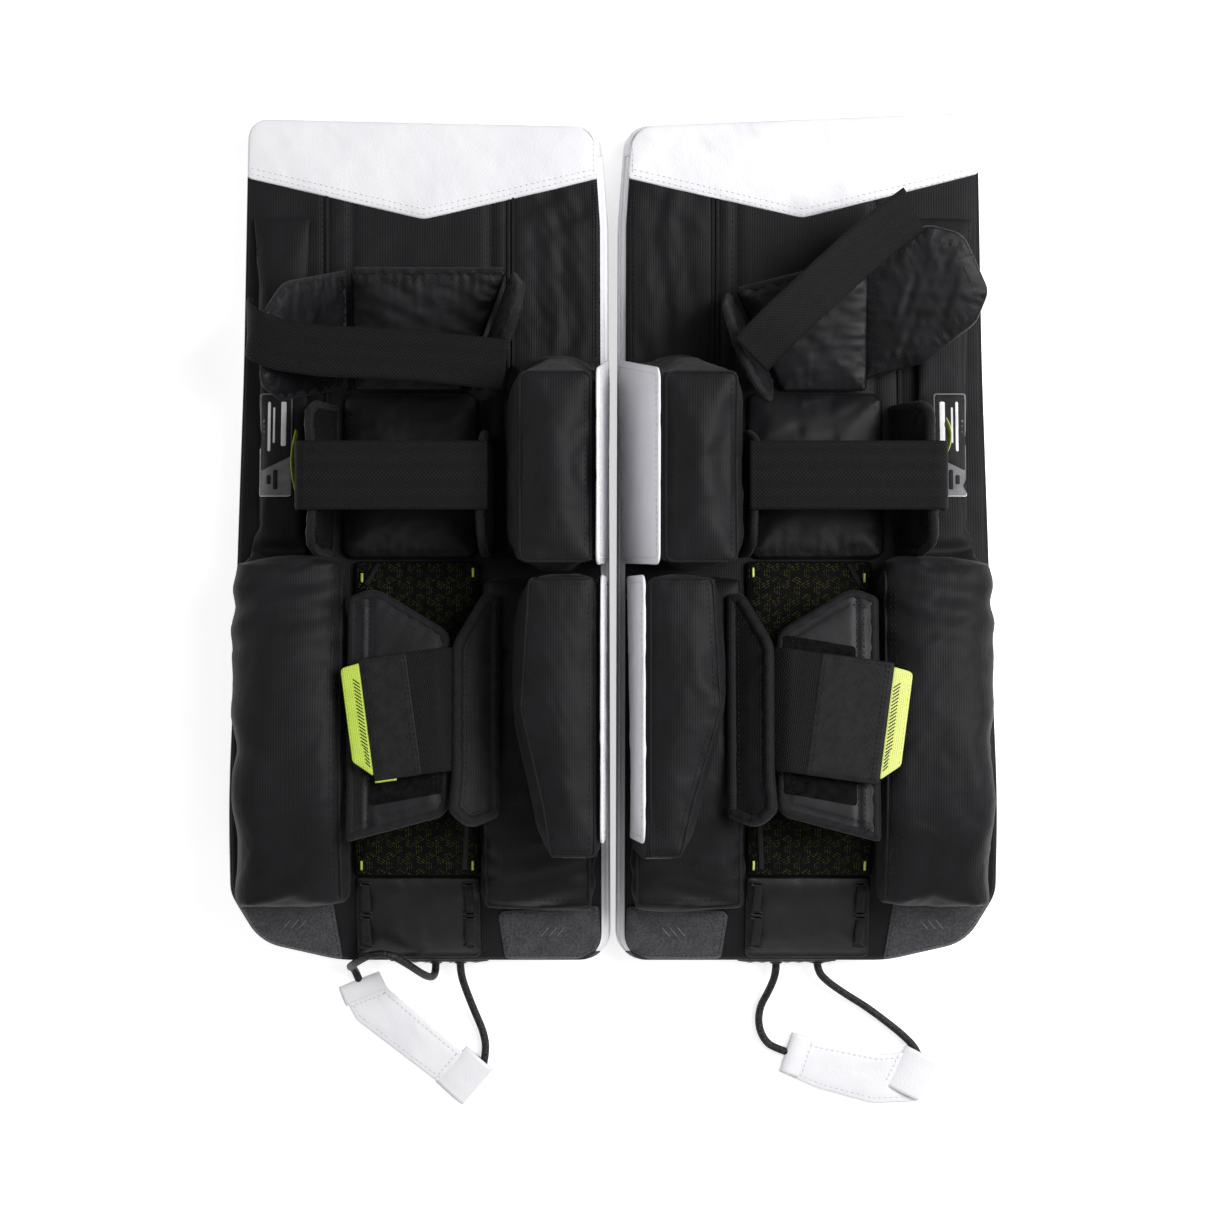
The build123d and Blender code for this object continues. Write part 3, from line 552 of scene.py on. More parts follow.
# ---------------------------------------------------------------- pieces
class Piece:
    """Gathers sewn parts, each with its finish, into one mesh. u is measured outwards from the middle plane."""

    def __init__(self, side, name):
        self.name, self.side = f"{side['name']}_{name}", side
        self.points, self.lay, self.faces, self.finishes, self.count = [], [], [], [], 0

    def add(self, points, faces, finish, lay=None, closed=True):
        points = np.asarray(points, float)
        if closed:  # its faces are turned outwards
            a, b, c = (points[[face[k] for face in faces]] - points[0] for k in range(3))
            if np.einsum("ij,ij->", a, np.cross(b, c)) < 0:
                faces = [face[::-1] for face in faces]
        self.faces += [tuple(i + self.count for i in face) for face in faces]
        self.finishes += [finish] * len(faces)
        self.points.append(points)
        self.lay.append(np.full((len(points), 2), np.nan) if lay is None else np.asarray(lay, float))
        self.count += len(points)

    def leaf(self, outline, place, thick, finish, edge, run=9.0, step=3.0, flat=True, shape=None, both=False):
        """A sewn pad. Its faces meet at a rounded edge and reach full thickness over run; shape adds folds."""
        points, faces = fill(outline, step, (edge * 0.3, edge))
        apart, along = apart_from(outline, points)
        apart[:len(outline)] = 0
        near = np.clip(apart / edge, 0, 1)
        half = edge * np.sqrt(1 - (1 - near) ** 2)
        full = (thick - 2 * edge) * (1 - np.exp(-np.maximum(apart - edge, 0) / run))
        folds = 0 if shape is None else shape(points[:, 0], points[:, 1], apart, along) * near
        top = (edge + half + full if flat else thick / 2 + half + full / 2) + folds
        low = (edge - half if flat else thick / 2 - half - full / 2) - (folds if both else 0)
        n = len(outline)
        above, below = stack(place, *points.T, top), stack(place, *points[n:].T, low[n:])
        turned = [tuple(i if i < n else i + len(points) - n for i in face[::-1]) for face in faces]
        self.add(np.vstack([above, below]), faces + turned, finish, np.vstack([points, points[n:]]))
        return self

    def band(self, outline, place, profile, finish, wave=None, open_run=False):
        """Tape or a side wall: a closed profile of (inset, height) pairs, carried round an outline."""
        far = distances(outline)
        rings, lay, girth = [], [], 0
        for k, (drawn, high) in enumerate(profile):
            ring = inset(outline, drawn, not open_run)
            high = high + (0 if wave is None else wave(far, drawn))
            rings.append(stack(place, *ring.T, high))
            lay.append(np.stack([far, np.full(len(far), girth)], 1))
            girth += math.dist(profile[k], profile[(k + 1) % len(profile)])
        n, m = len(outline), len(profile)
        faces = [face for k in range(m) for face in quads(k * n, (k + 1) % m * n, n, not open_run)]
        if open_run:
            faces += [tuple(k * n for k in range(m))[::-1], tuple(k * n + n - 1 for k in range(m))]
        self.add(np.vstack(rings), faces, finish, np.vstack(lay))
        return self

    def binding(self, outline, place, middle, wide, high, finish, seed=0, pucker=0.25):
        """Rounded tape folded over a cut edge."""
        profile = [(wide / 2 - wide / 2 * math.cos(t) - 0.8, middle + high * math.sin(t))
                   for t in np.arange(0, TAU, TAU / 10)]

        def wave(far, drawn):
            return pucker * np.sin(far / 1.9 + 1.5 * np.sin(far / 17 + seed)) * (drawn > 1)
        return self.band(outline, place, profile, finish, wave)

    def tube(self, path, radius, finish, closed=False, sides=8, squash=1.0):
        """Piping or cord along a path of (u, y, z) points."""
        path = np.asarray(path, float)
        run = heading(path, closed)
        side = unit(np.cross(run[0], (0.1, 0.2, 1.0)))
        points, lay = [], []
        for spot, along, d in zip(path, run, distances(path)):
            side = unit(side - along * (side @ along))
            other = np.cross(along, side)
            for t in range(sides):
                a = TAU * t / sides
                points.append(spot + radius * (math.cos(a) * side + squash * math.sin(a) * other))
                lay.append((d, a * radius))
        n, m = len(path), sides
        faces = [face for i in range(n if closed else n - 1) for face in quads(i * m, (i + 1) % n * m, m)]
        if not closed:
            faces += [tuple(range(m))[::-1], tuple((n - 1) * m + k for k in range(m))]
        self.add(points, faces, finish, lay)
        return self

    def strap(self, path, across, wide, thick, finish, step=2.5):
        """Flat webbing along a path; across is the direction of its width at each point."""
        path = even(path, step)
        run = heading(path)
        across = np.broadcast_to(across, path.shape)
        across = across - run * (across * run).sum(1)[:, None]
        across = across / np.linalg.norm(across, axis=1)[:, None]
        up = np.cross(run, across)
        far = distances(path)
        t = np.linspace(-1, 1, max(5, round(wide / step)))
        bead = 0.5 + 0.22 * np.exp(-((1 - np.abs(t)) * wide / 2 / 1.6) ** 2)  # the edges are overcast
        bead[[0, -1]] = 0.2
        section = [(a * wide / 2, b * thick) for a, b in zip(t, bead)]
        section += [(a * wide / 2, -b * thick) for a, b in zip(t[::-1], bead)]
        points = np.vstack([path + across * a + up * b for a, b in section])
        lay = np.vstack([np.stack([np.full(len(far), a), far], 1) for a, b in section])
        n, m = len(path), len(section)
        faces = [face for k in range(m) for face in quads(k * n, (k + 1) % m * n, n, closed=False)]
        half = m // 2
        for i in (0, n - 1):
            faces += [(k * n + i, (k + 1) * n + i, (m - 2 - k) * n + i, (m - 1 - k) * n + i)[::-1 if i else 1]
                      for k in range(half - 1)]
        self.add(points, faces, finish, lay)
        return self

    def onto(self, spots, place, high=60.0, low=-25.0, lift=0.0):
        """The spots on this piece's upper surface, as (u, y, z)."""
        tree = BVHTree.FromPolygons(np.vstack(self.points).tolist(), self.faces)
        starts, ends = stack(place, *spots.T, high), stack(place, *spots.T, low)
        found = []
        for start, end in zip(starts, ends):
            way = Vector(end - start)
            hit = tree.ray_cast(Vector(start), way.normalized(), way.length)[0]
            found.append(np.array(hit) - lift * unit(end - start) if hit else (np.nan,) * 3)
        return np.array(found)

    def stitches(self, line, place, finish, long=2.8, space=1.6, radius=0.42, closed=False, high=60.0):
        """Single stitches along a line, each a bead on the cloth, so long, so far apart and so thick."""
        line = even(line, (long + space) / 2, closed)
        spots = self.onto(line, place, high, lift=radius * 0.35)
        self.beads(spots[0:-1:2], spots[1::2], finish, radius)
        return self

    def beads(self, starts, ends, finish, radius):
        """Thin five-sided spindles between pairs of points; a pair with no surface below it is left out."""
        points, faces = [], []
        for a, b in zip(starts, ends):
            if np.isnan(a).any() or np.isnan(b).any() or np.linalg.norm(a - b) > 9:
                continue
            run = unit(b - a)
            a, b = a - run * radius, b + run * radius
            side = unit(np.cross(run, (0.13, 0.21, 1)))
            other = np.cross(run, side)
            n = len(points)
            points += [a, b] + [(a + b) / 2 + radius * (math.cos(t) * side + math.sin(t) * other)
                                for t in np.arange(0, TAU - 0.1, TAU / 5)]
            faces += [(n, n + 2 + k, n + 2 + (k + 1) % 5)[::-1] for k in range(5)]
            faces += [(n + 1, n + 2 + k, n + 2 + (k + 1) % 5) for k in range(5)]
        if points:
            self.add(points, faces, finish, closed=False)

    def seam(self, line, place, finish, radius=0.9, lift=0.1, closed=False, high=60.0):
        """A corded seam lying on the piece."""
        spots = self.onto(even(line, 3.0, closed), place, high, lift=lift)
        spots = spots[~np.isnan(spots).any(1)]
        if len(spots) > 2:
            self.tube(spots, radius, finish, closed)
        return self

    def make(self, slot, body="pad", fill=None):
        """The finished object, in its CAD solid's place; fill is not used."""
        points = np.vstack(self.points) / 1000
        points[:, 0] *= self.side["sign"]
        faces = self.faces if self.side["sign"] > 0 else [face[::-1] for face in self.faces]
        mesh = bpy.data.meshes.new(self.name)
        mesh.from_pydata(points.tolist(), [], faces)
        finishes = list(dict.fromkeys(self.finishes))
        for finish in finishes:
            mesh.materials.append(finish)
        where = {finish: i for i, finish in enumerate(finishes)}
        mesh.polygons.foreach_set("material_index", [where[finish] for finish in self.finishes])
        mesh.shade_smooth()
        vertex = np.empty(len(mesh.loops), int)
        mesh.loops.foreach_get("vertex_index", vertex)
        lay = np.vstack(self.lay)[vertex] / 1000
        # where no lay was given, the cloth runs square to the face's main direction
        normals = vectors(mesh.polygons, "normal")
        sizes = np.empty(len(mesh.polygons), int)
        mesh.polygons.foreach_get("loop_total", sizes)
        main = np.repeat(np.abs(normals.reshape(-1, 3)).argmax(1), sizes)
        spots = points[vertex]
        boxed = np.where((main == 2)[:, None], spots[:, [0, 1]],
                         np.where((main == 0)[:, None], spots[:, [2, 1]], spots[:, [0, 2]]))
        lay = np.where(np.isnan(lay), boxed, lay)
        mesh.uv_layers.new(name="lay").uv.foreach_set("vector", lay.astype(np.float32).ravel())
        piece = bpy.data.objects.new(self.name + "_sewn", mesh)
        bpy.context.collection.objects.link(piece)
        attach(piece, f"{self.side['name']}_{body}")
        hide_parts(self.name)
        return piece


def vectors(items, name):
    """A vector of every vertex or face, all in one row."""
    flat = np.empty(3 * len(items), np.float32)
    items.foreach_get(name, flat)
    return flat


def plump(nodes, voxel=5.0, shrink=2.4, cap=6.0):
    """Each CAD solid blown up as sewn cloth, all in one run: its points, normals and faces."""
    scene = bpy.context.scene
    made = {}
    for node in nodes:
        body = bpy.data.objects.new("blown_" + node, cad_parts[node].data.copy())
        scene.collection.objects.link(body)
        remesh = body.modifiers.new("remesh", "REMESH")
        remesh.mode, remesh.voxel_size = "VOXEL", voxel / 1000
        made[node] = body
    view = bpy.context.evaluated_depsgraph_get()
    for body in made.values():
        mesh = bpy.data.meshes.new_from_object(body.evaluated_get(view))
        body.modifiers.clear()
        body.data = mesh
        flat, normals = vectors(mesh.vertices, "co"), vectors(mesh.vertices, "normal")
        mesh.vertices.foreach_set("co", flat - normals * shrink / 1000)
        cloth = body.modifiers.new("cloth", "CLOTH")
        cloth.settings.use_pressure, cloth.settings.uniform_pressure_force = True, 4.0
        cloth.settings.effector_weights.gravity = 0.0
        cloth.settings.tension_stiffness = cloth.settings.compression_stiffness = 12.0
        cloth.settings.quality = 4
        cloth.point_cache.frame_end = 20
    for number in range(1, 21):
        scene.frame_set(number)
    view = bpy.context.evaluated_depsgraph_get()
    for body in made.values():
        blown = bpy.data.meshes.new_from_object(body.evaluated_get(view))
        start = vectors(body.data.vertices, "co")
        moved = (vectors(blown.vertices, "co") - start).reshape(-1, 3)
        far = np.linalg.norm(moved, axis=1)
        moved *= np.minimum(1, cap / 1000 / np.maximum(far, 1e-9))[:, None]
        blown.vertices.foreach_set("co", (start.reshape(-1, 3) + moved).ravel())
        body.modifiers.clear()
        body.data = blown
        smooth = body.modifiers.new("smooth", "SUBSURF")
        smooth.levels = smooth.render_levels = 1
    results = {}
    view = bpy.context.evaluated_depsgraph_get()
    for node, body in made.items():
        mesh = bpy.data.meshes.new_from_object(body.evaluated_get(view))
        points = vectors(mesh.vertices, "co").reshape(-1, 3) * 1000.0
        normals = vectors(mesh.vertices, "normal").reshape(-1, 3).astype(float)
        flip = -1 if points[:, 0].mean() < 0 else 1
        points[:, 0] *= flip
        normals[:, 0] *= flip
        results[node] = points, normals, [tuple(face.vertices) for face in mesh.polygons]
    for body in made.values():
        bpy.data.objects.remove(body)
    scene.frame_set(1)
    return results


# ---------------------------------------------------------------- the slab
def pad_outline(step=4.0, end=322):
    """A pad seen from above, up to that end on the thigh."""
    return rounded([(3, -322), (210, -322), (269, -308), (290, -270), (279, end), (9, end - 6)],
                   [20, 90, 34, 26, 14, 16], step)


def chevron(u):
    """Where the white panel's lower edge crosses the back."""
    return 244.5 + 31.5 * abs(u - 145) / 135.3


def slab_place(u, y, h):
    """From the face up, with the inner side slanting in towards the back and the boot's outer side flared."""
    near = np.clip(1 - u / 45, 0, 1)
    slant = 6.5 * np.clip((h - 26) / 13, 0, 1) * near
    # stuffed, the inner side stands straighter than its cut line
    bulge = (1.2 + 5.2 * np.clip((y + 322) / 638, 0, 1) * np.clip((300 - y) / 60, 0, 1)) * near
    flare = 4.5 * (1 - h / SLAB) * np.clip((-140 - y) / 90, 0, 1) * np.clip((u - 230) / 50, 0, 1)
    return u + slant - bulge + flare, y, rise(y, np.maximum(h, 0))


def thigh_end(side):
    """The slab's place, with the thigh end drawn out at its outer corner as the pad was left lying."""
    def place(u, y, h):
        u, y, z = slab_place(u, y, h)
        return u, y + side["thigh_pull"] * u / 280 * np.clip((y - 180) / 140, 0, 1), z
    return place


def face_cover(side):
    """The white cover of the face and sides, its front quilted along the knee, shin and boot lines."""
    piece = Piece(side, "face_cover")
    outline, place = pad_outline(), thigh_end(side)
    lines = [even(line, 4) for line in (
        [(8, 118), (145, 134), (282, 118)], [(8, -40), (145, -62), (283, -40)], [(8, -196), (288, -196)],
        [(58, 118), (66, -50)], [(232, 118), (226, -50)], [(58, -196), (64, -50)], [(236, -196), (226, -50)])]
    points, faces = fill(inset(outline, 9.0), 4.5)
    groove, edge = np.zeros(len(points)), apart_from(inset(outline, 9.0), points)[0]
    edge[:len(outline)] = 0
    for line in lines:
        groove += 1.8 * np.exp(-(apart_from(line, points, False)[0] / 4) ** 2)
    puff = 1.0 + 0.35 * crumple(*points.T, 60, 5)
    low = 1.6 * np.exp(-edge / 14) + np.clip(groove + (1 - puff) * 0.5, 0, 2.6) * np.clip(edge / 12, 0, 1)
    front = stack(place, *points.T, low)
    # the side wall, from the front's edge up to where it turns in under the back cover
    rings = [(5.5, 1.0), (2.8, 2.2), (0.9, 4.5), (0.2, 8), (0, 13), (0.1, 20), (0.3, 27),
             (0.9, 30), (0.3, 32.5), (0.5, 35), (2.2, 38), (6, 39.2)]
    n = len(outline)
    walls = np.vstack([stack(place, *inset(outline, drawn).T, high + 0 * outline[:, 0])
                       for drawn, high in rings])
    faces = [face[::-1] for face in faces] + quads(0, len(points), n)
    for k in range(len(rings) - 1):
        faces += quads(len(points) + k * n, len(points) + (k + 1) * n, n)
    lid_points, lid = fill(inset(outline, 6.0), 12.0)
    shift = len(points) + (len(rings) - 1) * n
    high = stack(place, *lid_points[n:].T, rings[-1][1])
    faces += [tuple(shift + i for i in face) for face in lid]
    piece.add(np.vstack([front, walls, high]), faces, LEATHER)
    for line in lines:
        for gap in (-3.2, 3.2):
            moved = line + gap * np.stack([-np.gradient(line[:, 1]), np.gradient(line[:, 0])], 1) / 4
            piece.stitches(moved, lambda u, y, h: (u, y, rise(y, 0) - h), WHITE_THREAD, 3.2, 1.8, 0.5,
                           high=20.0)
    # the piped seam between the front and the sides, and the one under the back cover
    for drawn, high, radius in ((2.2, 2.6, 1.7), (0.6, 30, 1.1)):
        piece.tube(stack(place, *inset(outline, drawn).T, high), radius, LEATHER, closed=True)
    return piece.make("white_synthetic_leather", fill=0.9)


def foam_core(side):
    """The cut foam inside the covers, clear of their slanting side."""
    piece = Piece(side, "foam_core")
    piece.leaf(inset(pad_outline(), 13), lambda u, y, h: slab_place(u, y, h + 4.5), 31.0, FOAM, edge=2, run=2,
               step=9)
    return piece.make("cushion_foam")


def back_cover(side):
    """The black back: flat panels between corded seams, and a strip with gathers along the inner side."""
    piece = Piece(side, "back_cover")
    outline, place = pad_outline(), thigh_end(side)

    def shape(u, y, apart, along):
        folds = 0.5 * crumple(u, y, 55, side["seed"]) * np.clip(apart / 12, 0, 1)
        strip = np.clip(1 - np.abs(u - 42) / 34, 0, 1) * np.clip((y - 110) / 40, 0, 1)
        wander = 2.2 * np.sin(y / 41 + side["seed"]) + 0.7 * np.sin(y / 13 + u / 19)
        folds += strip * (0.9 * np.sin(u / 3.7 + wander) + 0.8 * crumple(u * 2.2, y, 26, side["seed"] + 12))
        pulls = np.clip((y - 215) / 50, 0, 1) * np.clip(1 - np.abs(u - 48) / 40, 0, 1)
        folds += pulls * 1.2 * np.sin((u * 0.7 + y) / 5.2 + side["seed"])
        for x in (80, 94, 199.7, 219):
            folds -= 1.5 * np.exp(-((u - x) / 3.4) ** 2) * (y > -10) * np.clip(apart / 12, 0, 1)
        return folds * np.clip((282 - y) / 24, 0, 1) - 0.6 - 1.6 * np.clip((y - 276) / 8, 0, 1)
    # it ends under the white panel
    piece.leaf(inset(pad_outline(4.0, 306), 0.9), lambda u, y, h: place(u, y, 36.6 + h), 5.6, NYLON, edge=2.6,
               run=5, step=3.2, shape=shape)
    # the skirt down the sides: black along the leg, white round the thigh end
    first = int(np.argmax(outline[:, 0] > 8))
    last = int(np.argmax((outline[:, 1] > 276) & (outline[:, 0] > 200)))
    end = last + int(np.argmax((outline[last:, 0] < 24) & (outline[last:, 1] < 292)))
    skirt = [(0.9, 39.6), (0.0, 38.4), (-0.7, 35), (-0.8, 31), (0.2, 30.6), (1.4, 31), (1.8, 38)]
    piece.band(outline[first:last + 1], place, skirt, NYLON, open_run=True)
    piece.band(outline[last:end], place, skirt, LEATHER, open_run=True)
    flat = over_pad(SLAB)
    for x, radius in ((80, 1.7), (76.6, 1.3), (219, 1.9)):
        piece.seam([(x, -4.0), (x, chevron(x) + 1)], flat, BINDING, radius, 0.5)
    for x in (91.5, 96.5, 197, 202.4, 222.5):
        piece.stitches([(x, 100.0), (x, chevron(x) + 1)], flat, BLACK_THREAD, 3.0, 1.6, 0.4)
    for x in (13.0, 15.5):
        piece.stitches([(x, 140.0), (x, 272.0)], flat, BLACK_THREAD, 2.2, 0.9, 0.7)
    return piece.make("black_nylon", fill=0.8)


def thigh_panel(side):
    """The white chevron across the thigh end, sewn down with two rows along its point."""
    piece = Piece(side, "thigh_panel")
    place = thigh_end(side)
    outline = rounded([(8.6, 276), (145, 244.5), (279.2, 276), (278.6, 321.3), (9.2, 315.2)],
                      [2, 14, 2, 13, 22], 3.0)

    def shape(u, y, apart, along):
        return 0.4 * crumple(u, y, 44, side["seed"] + 3) + 0.15 * crumple(u, y, 17, side["seed"] + 9)
    piece.leaf(outline, lambda u, y, h: place(u, y, OVER - 2.4 + h), 4.2, LEATHER, edge=1.6, run=5, step=2.8,
               shape=shape)
    for drop in (3.4, 7.6):
        line = [(12.0, 276 + drop), (145, 244.5 + drop * 1.03), (276.5, 276 + drop)]
        piece.stitches(rounded(line, [0, 12, 0], 3, closed=False), over_pad(SLAB), WHITE_THREAD, 3.0, 1.5, 0.42)
    piece.stitches([(15.0, 281.0), (15.0, 305.0)], over_pad(SLAB), WHITE_THREAD, 2.4, 1.5, 0.42)
    return piece.make("white_synthetic_leather")


# ---------------------------------------------------------------- rolls and the shin's channel
def outer_roll(side, blown):
    """The tall roll along the outer side, and the thin padding above it on the thigh."""
    piece = Piece(side, "outer_roll")
    points, normals, faces = blown
    seed = side["seed"]
    u, y, z = points.T
    shin = np.clip((-8 - y) / 12, 0, 1)
    folds = shin * (0.55 * crumple(y, u, 52, seed) + 0.35 * crumple(u * 0.8, y * 1.3, 21, seed + 1))
    # slanting folds near the roll's top end, and bulges between the darts low on its outer side
    top_end = np.exp(-((y + 48) / 34) ** 2)
    folds += 1.5 * top_end * np.sin((y + 0.42 * (u - 240)) / 4.6 + 1.2 * np.sin(u / 19 + seed))
    outer = np.clip((u - 262) / 18, 0, 1) * np.clip((-110 - y) / 30, 0, 1)
    folds += outer * 2.2 * np.sin(y / 11.5 + 0.9 * np.sin(y / 37 + seed)) * np.clip((z - 70) / 20, 0, 1)
    folds += (1 - shin) * 0.4 * crumple(u, y, 30, seed + 4)
    piece.add(points + normals * folds[:, None], faces, NYLON)
    side["roll"] = piece
    piece.seam([(203.0, -26.0), (203.0, -268.0)], straight, BINDING, 1.3, 0.3, high=200.0)
    for u0, low, high in ((206.5, -32.0, -262.0), (209.5, -32.0, -262.0), (232, 4.0, 246.0), (272, 4.0, 246.0)):
        piece.stitches([(u0, low), (u0, high)], straight, BLACK_THREAD, 3.0, 1.6, 0.42, high=200.0)
    return piece.make("black_nylon", fill=0.75)


def inner_roll(side, blown):
    """The flat roll along the inner side, under the calf block."""
    piece = Piece(side, "inner_roll")
    points, normals, faces = blown
    u, y, _ = points.T
    folds = 0.5 * crumple(u, y, 40, side["seed"] + 2) + 0.35 * crumple(u, y, 17, side["seed"] + 5)
    low_end = np.clip((-232 - y) / 14, 0, 1)
    folds += low_end * 0.9 * np.sin(y / 3.6 + 1.4 * np.sin(u / 17 + side["seed"]))
    piece.add(points + normals * folds[:, None], faces, NYLON)
    piece.seam([(95, -34), (95, -276), (56, -278), (18, -276), (18, -36)], straight, BINDING, 1.2, 0.3,
               high=200.0)
    piece.stitches([(91.5, -238.0), (91.5, -272), (22, -272)], straight, BLACK_THREAD, 3.0, 1.6, 0.42,
                   high=200.0)
    return piece.make("black_nylon", fill=0.75)


def shin_liner(side):
    """The soft lining of the channel, printed with rows of three-armed marks, and its corner tacks."""
    piece = Piece(side, "shin_liner")
    outline = box((100.4, -255.6), (196.1, -17.4), 3)
    place = over_pad(OVER)
    seed = side["seed"] + 6

    def shape(u, y, apart, along):
        tufts = sum(np.exp(-((y - row) / 4.5) ** 2) for row in (-62, -108, -154, -200))
        return 0.5 * crumple(u, y, 26, seed) - 1.5 * tufts
    piece.leaf(outline, place, 9.6, LINER, edge=2.5, run=7, shape=shape)
    starts, ends = [], []
    pitch = 15.0
    for j, y in enumerate(np.arange(-252, -16, pitch * 0.866)):
        for u in np.arange(96 + pitch / 2 * (j % 2), 202, pitch):
            for turn in (90, 210, 330):
                way = np.array([math.cos(math.radians(turn)), math.sin(math.radians(turn))])
                beside = np.array([-way[1], way[0]])
                for s, low, high in ((0.4, 0.2, 8.8), (2.2, 1.2, 8.8), (4.0, 2.4, 7.2)):
                    for near, far in ((low, (low + high) / 2), ((low + high) / 2, high)):
                        starts.append((u, y) + way * near + s * beside)
                        ends.append((u, y) + way * far + s * beside)
    starts, ends = np.array(starts), np.array(ends)
    keep = (starts[:, 0] > 103) & (ends[:, 0] > 103) & (starts[:, 0] < 194) & (ends[:, 0] < 194)
    piece.beads(*(piece.onto(spots[keep], place, lift=0.02) for spots in (starts, ends)), PRINT, 0.3)
    for u, y in ((106, -247), (190, -247), (106, -26), (190, -30)):
        spots = piece.onto(even([(u, y - 3.4), (u, y + 3.4)], 1.5), place, lift=0.5)
        piece.tube(spots, 1.0, side["lime"])
    # narrow tapes beside two of the tacks
    for u0, y0, u1, y1 in ((187, -36, 178, -19), (110, -214, 112, -250)):
        spots = piece.onto(even([(u0, y0), (u1, y1)], 3.0), place, lift=0.7)
        piece.strap(spots, (1, 0, 0), 4.0, 1.0, LACE)
    return piece.make("patterned_liner", fill=0.5)


def boot_panel(side):
    """The smooth panel over the boot, rolled down at its end."""
    piece = Piece(side, "boot_panel")
    outline = box((100.6, -319.4), (195.0, -256.8), [5, 5, 2, 2], 2.6)

    def shape(u, y, apart, along):
        dimples = sum(np.exp(-(((u - a) / 5) ** 2 + ((y - b) / 6) ** 2))
                      for a in LACE_COLUMNS for b in LACE_ROWS)
        rolled_down = 2.8 * np.clip((-306 - y) / 14, 0, 1) ** 2
        return 0.3 * crumple(u, y, 22, side["seed"] + 7) - 1.2 * dimples - rolled_down
    piece.leaf(outline, over_pad(OVER), 6.4, SMOOTH, edge=1.6, run=6, step=2.6, shape=shape)
    for u in (102.5, 193):
        piece.stitches([(u, -262), (u, -312)], over_pad(OVER), BLACK_THREAD, 2.8, 1.5, 0.4)
    return piece.make("smooth_black_panel", fill=0.4)


def laces(side):
    """Four flat stitches of braid, each dipping into its slot at both ends."""
    piece = Piece(side, "laces")
    for u in LACE_COLUMNS:
        for y in LACE_ROWS:
            t = np.linspace(-1, 1, 15)
            spot = np.stack([u + 0.8 * t, y + 11.2 * t, rise(y + 11.2 * t, OVER + 8.0 - 3.2 * t ** 6)], 1)
            piece.strap(spot, (1, 0, 0), 7.0, 1.5, LACE, step=1.5)
            for end in (-1, 1):
                ring = [(u + 4.4 * math.cos(a), y + end * 11.4 + 1.3 * math.sin(a))
                        for a in np.arange(0, TAU, 0.4)]
                ring = [(a, b, rise(b, OVER + 6.4)) for a, b in ring]
                piece.tube(ring, 0.7, SMOOTH, closed=True, sides=6)
    return piece.make("flat_lace")


def sewn_patches(side):
    """Two grey wear patches on the boot's corners, and the size label, its words left as plain bars."""
    piece = Piece(side, "sewn_patches")
    cut = pad_outline(2.0)

    def place(u, y, h):
        edge = apart_from(cut, np.stack([u, y], 1))[0]
        return slab_place(u, y, OVER - 0.6 + h - 0.5 * np.maximum(4.2 - edge, 0) ** 1.4)
    rim = inset(pad_outline(2.4), 0.4)
    rim = rim[(rim[:, 0] > 207) & (rim[:, 1] < -275)]
    outer = rounded([(213, -275), (206.5, -320.8), *rim], [4, 4] + [0] * len(rim), 2.4)
    inner = rounded([(6.5, -279), (84, -283), (87.5, -287), (82.5, -321.3), (24, -321.3), (9, -314),
                     (4.6, -304)], [3, 4, 4, 4, 10, 10, 10], 2.4)
    for outline, seed in ((outer, 1), (inner, 2)):
        def shape(u, y, apart, along):
            return 0.12 * crumple(u, y, 12, seed) - 0.25 * np.exp(-((apart - 2.4) / 0.9) ** 2)
        piece.leaf(outline, place, 1.5, PATCH, edge=0.6, run=3, step=2.4, shape=shape)
        piece.stitches(inset(outline, 2.4), place, BLACK_THREAD, 2.4, 1.3, 0.36, closed=True)
        for k in range(3):
            u, y = outline[:, 0].mean() + 6 * k - 6, outline[:, 1].mean()
            spots = piece.onto(even([(u - 3, y + 4), (u + 3, y - 3)], 2), place, lift=0.05)
            piece.tube(spots, 0.45, LABEL_GREY, sides=5)

    def on_roll(u, y, h):
        spots = side["roll"].onto(np.stack([u, y], 1), straight, 200.0, 20.0)
        return u, y, spots[:, 2] + 0.2 + h
    piece.leaf(box((243.5, 31.5), (268.5, 110.5), 1.2, 2.4), on_roll, 0.9, LABEL_GREY, edge=0.4, run=2,
               step=2.4)
    dark = rounded([(244.6, 62), (267.4, 51), (267.4, 109.4), (244.6, 109.4)], 0.6, 2.4)
    piece.leaf(dark, lambda u, y, h: on_roll(u, y, h + 0.55), 0.7, LABEL_BLACK, edge=0.3, run=2, step=2.4)
    frame_line = box((244.2, 31.9), (268.0, 110.0), 0.8, 2.0)
    piece.tube(stack(on_roll, *frame_line.T, 1.1), 0.35, LABEL_WHITE, closed=True, sides=5)
    for u, low, high, half, ink in ((261, 66, 104, 1.1, LABEL_WHITE), (257.3, 72, 100, 0.8, LABEL_WHITE),
                                    (250, 70, 104, 2.0, LABEL_WHITE), (261, 41, 48, 1.6, LABEL_BLACK),
                                    (256, 37, 52, 1.6, LABEL_BLACK)):
        piece.leaf(box((u - half, low), (u + half, high), 0.3, 1.5), lambda u, y, h: on_roll(u, y, h + 1.0),
                   0.5, ink, edge=0.2, run=1, step=1.5)
    return piece.make("dark_grey_patch")


# ---------------------------------------------------------------- blocks
def block_seams(piece, ring):
    """Piping round a block's top, with a row of stitches inside it."""
    top = piece.onto(inset(ring, 3.2), straight, 260.0, 60.0, lift=0.2)
    piece.tube(top[~np.isnan(top).any(1)], 1.0, BINDING, closed=True)
    piece.stitches(inset(ring, 7.2), straight, BLACK_THREAD, 2.8, 1.5, 0.4, closed=True, high=260.0)


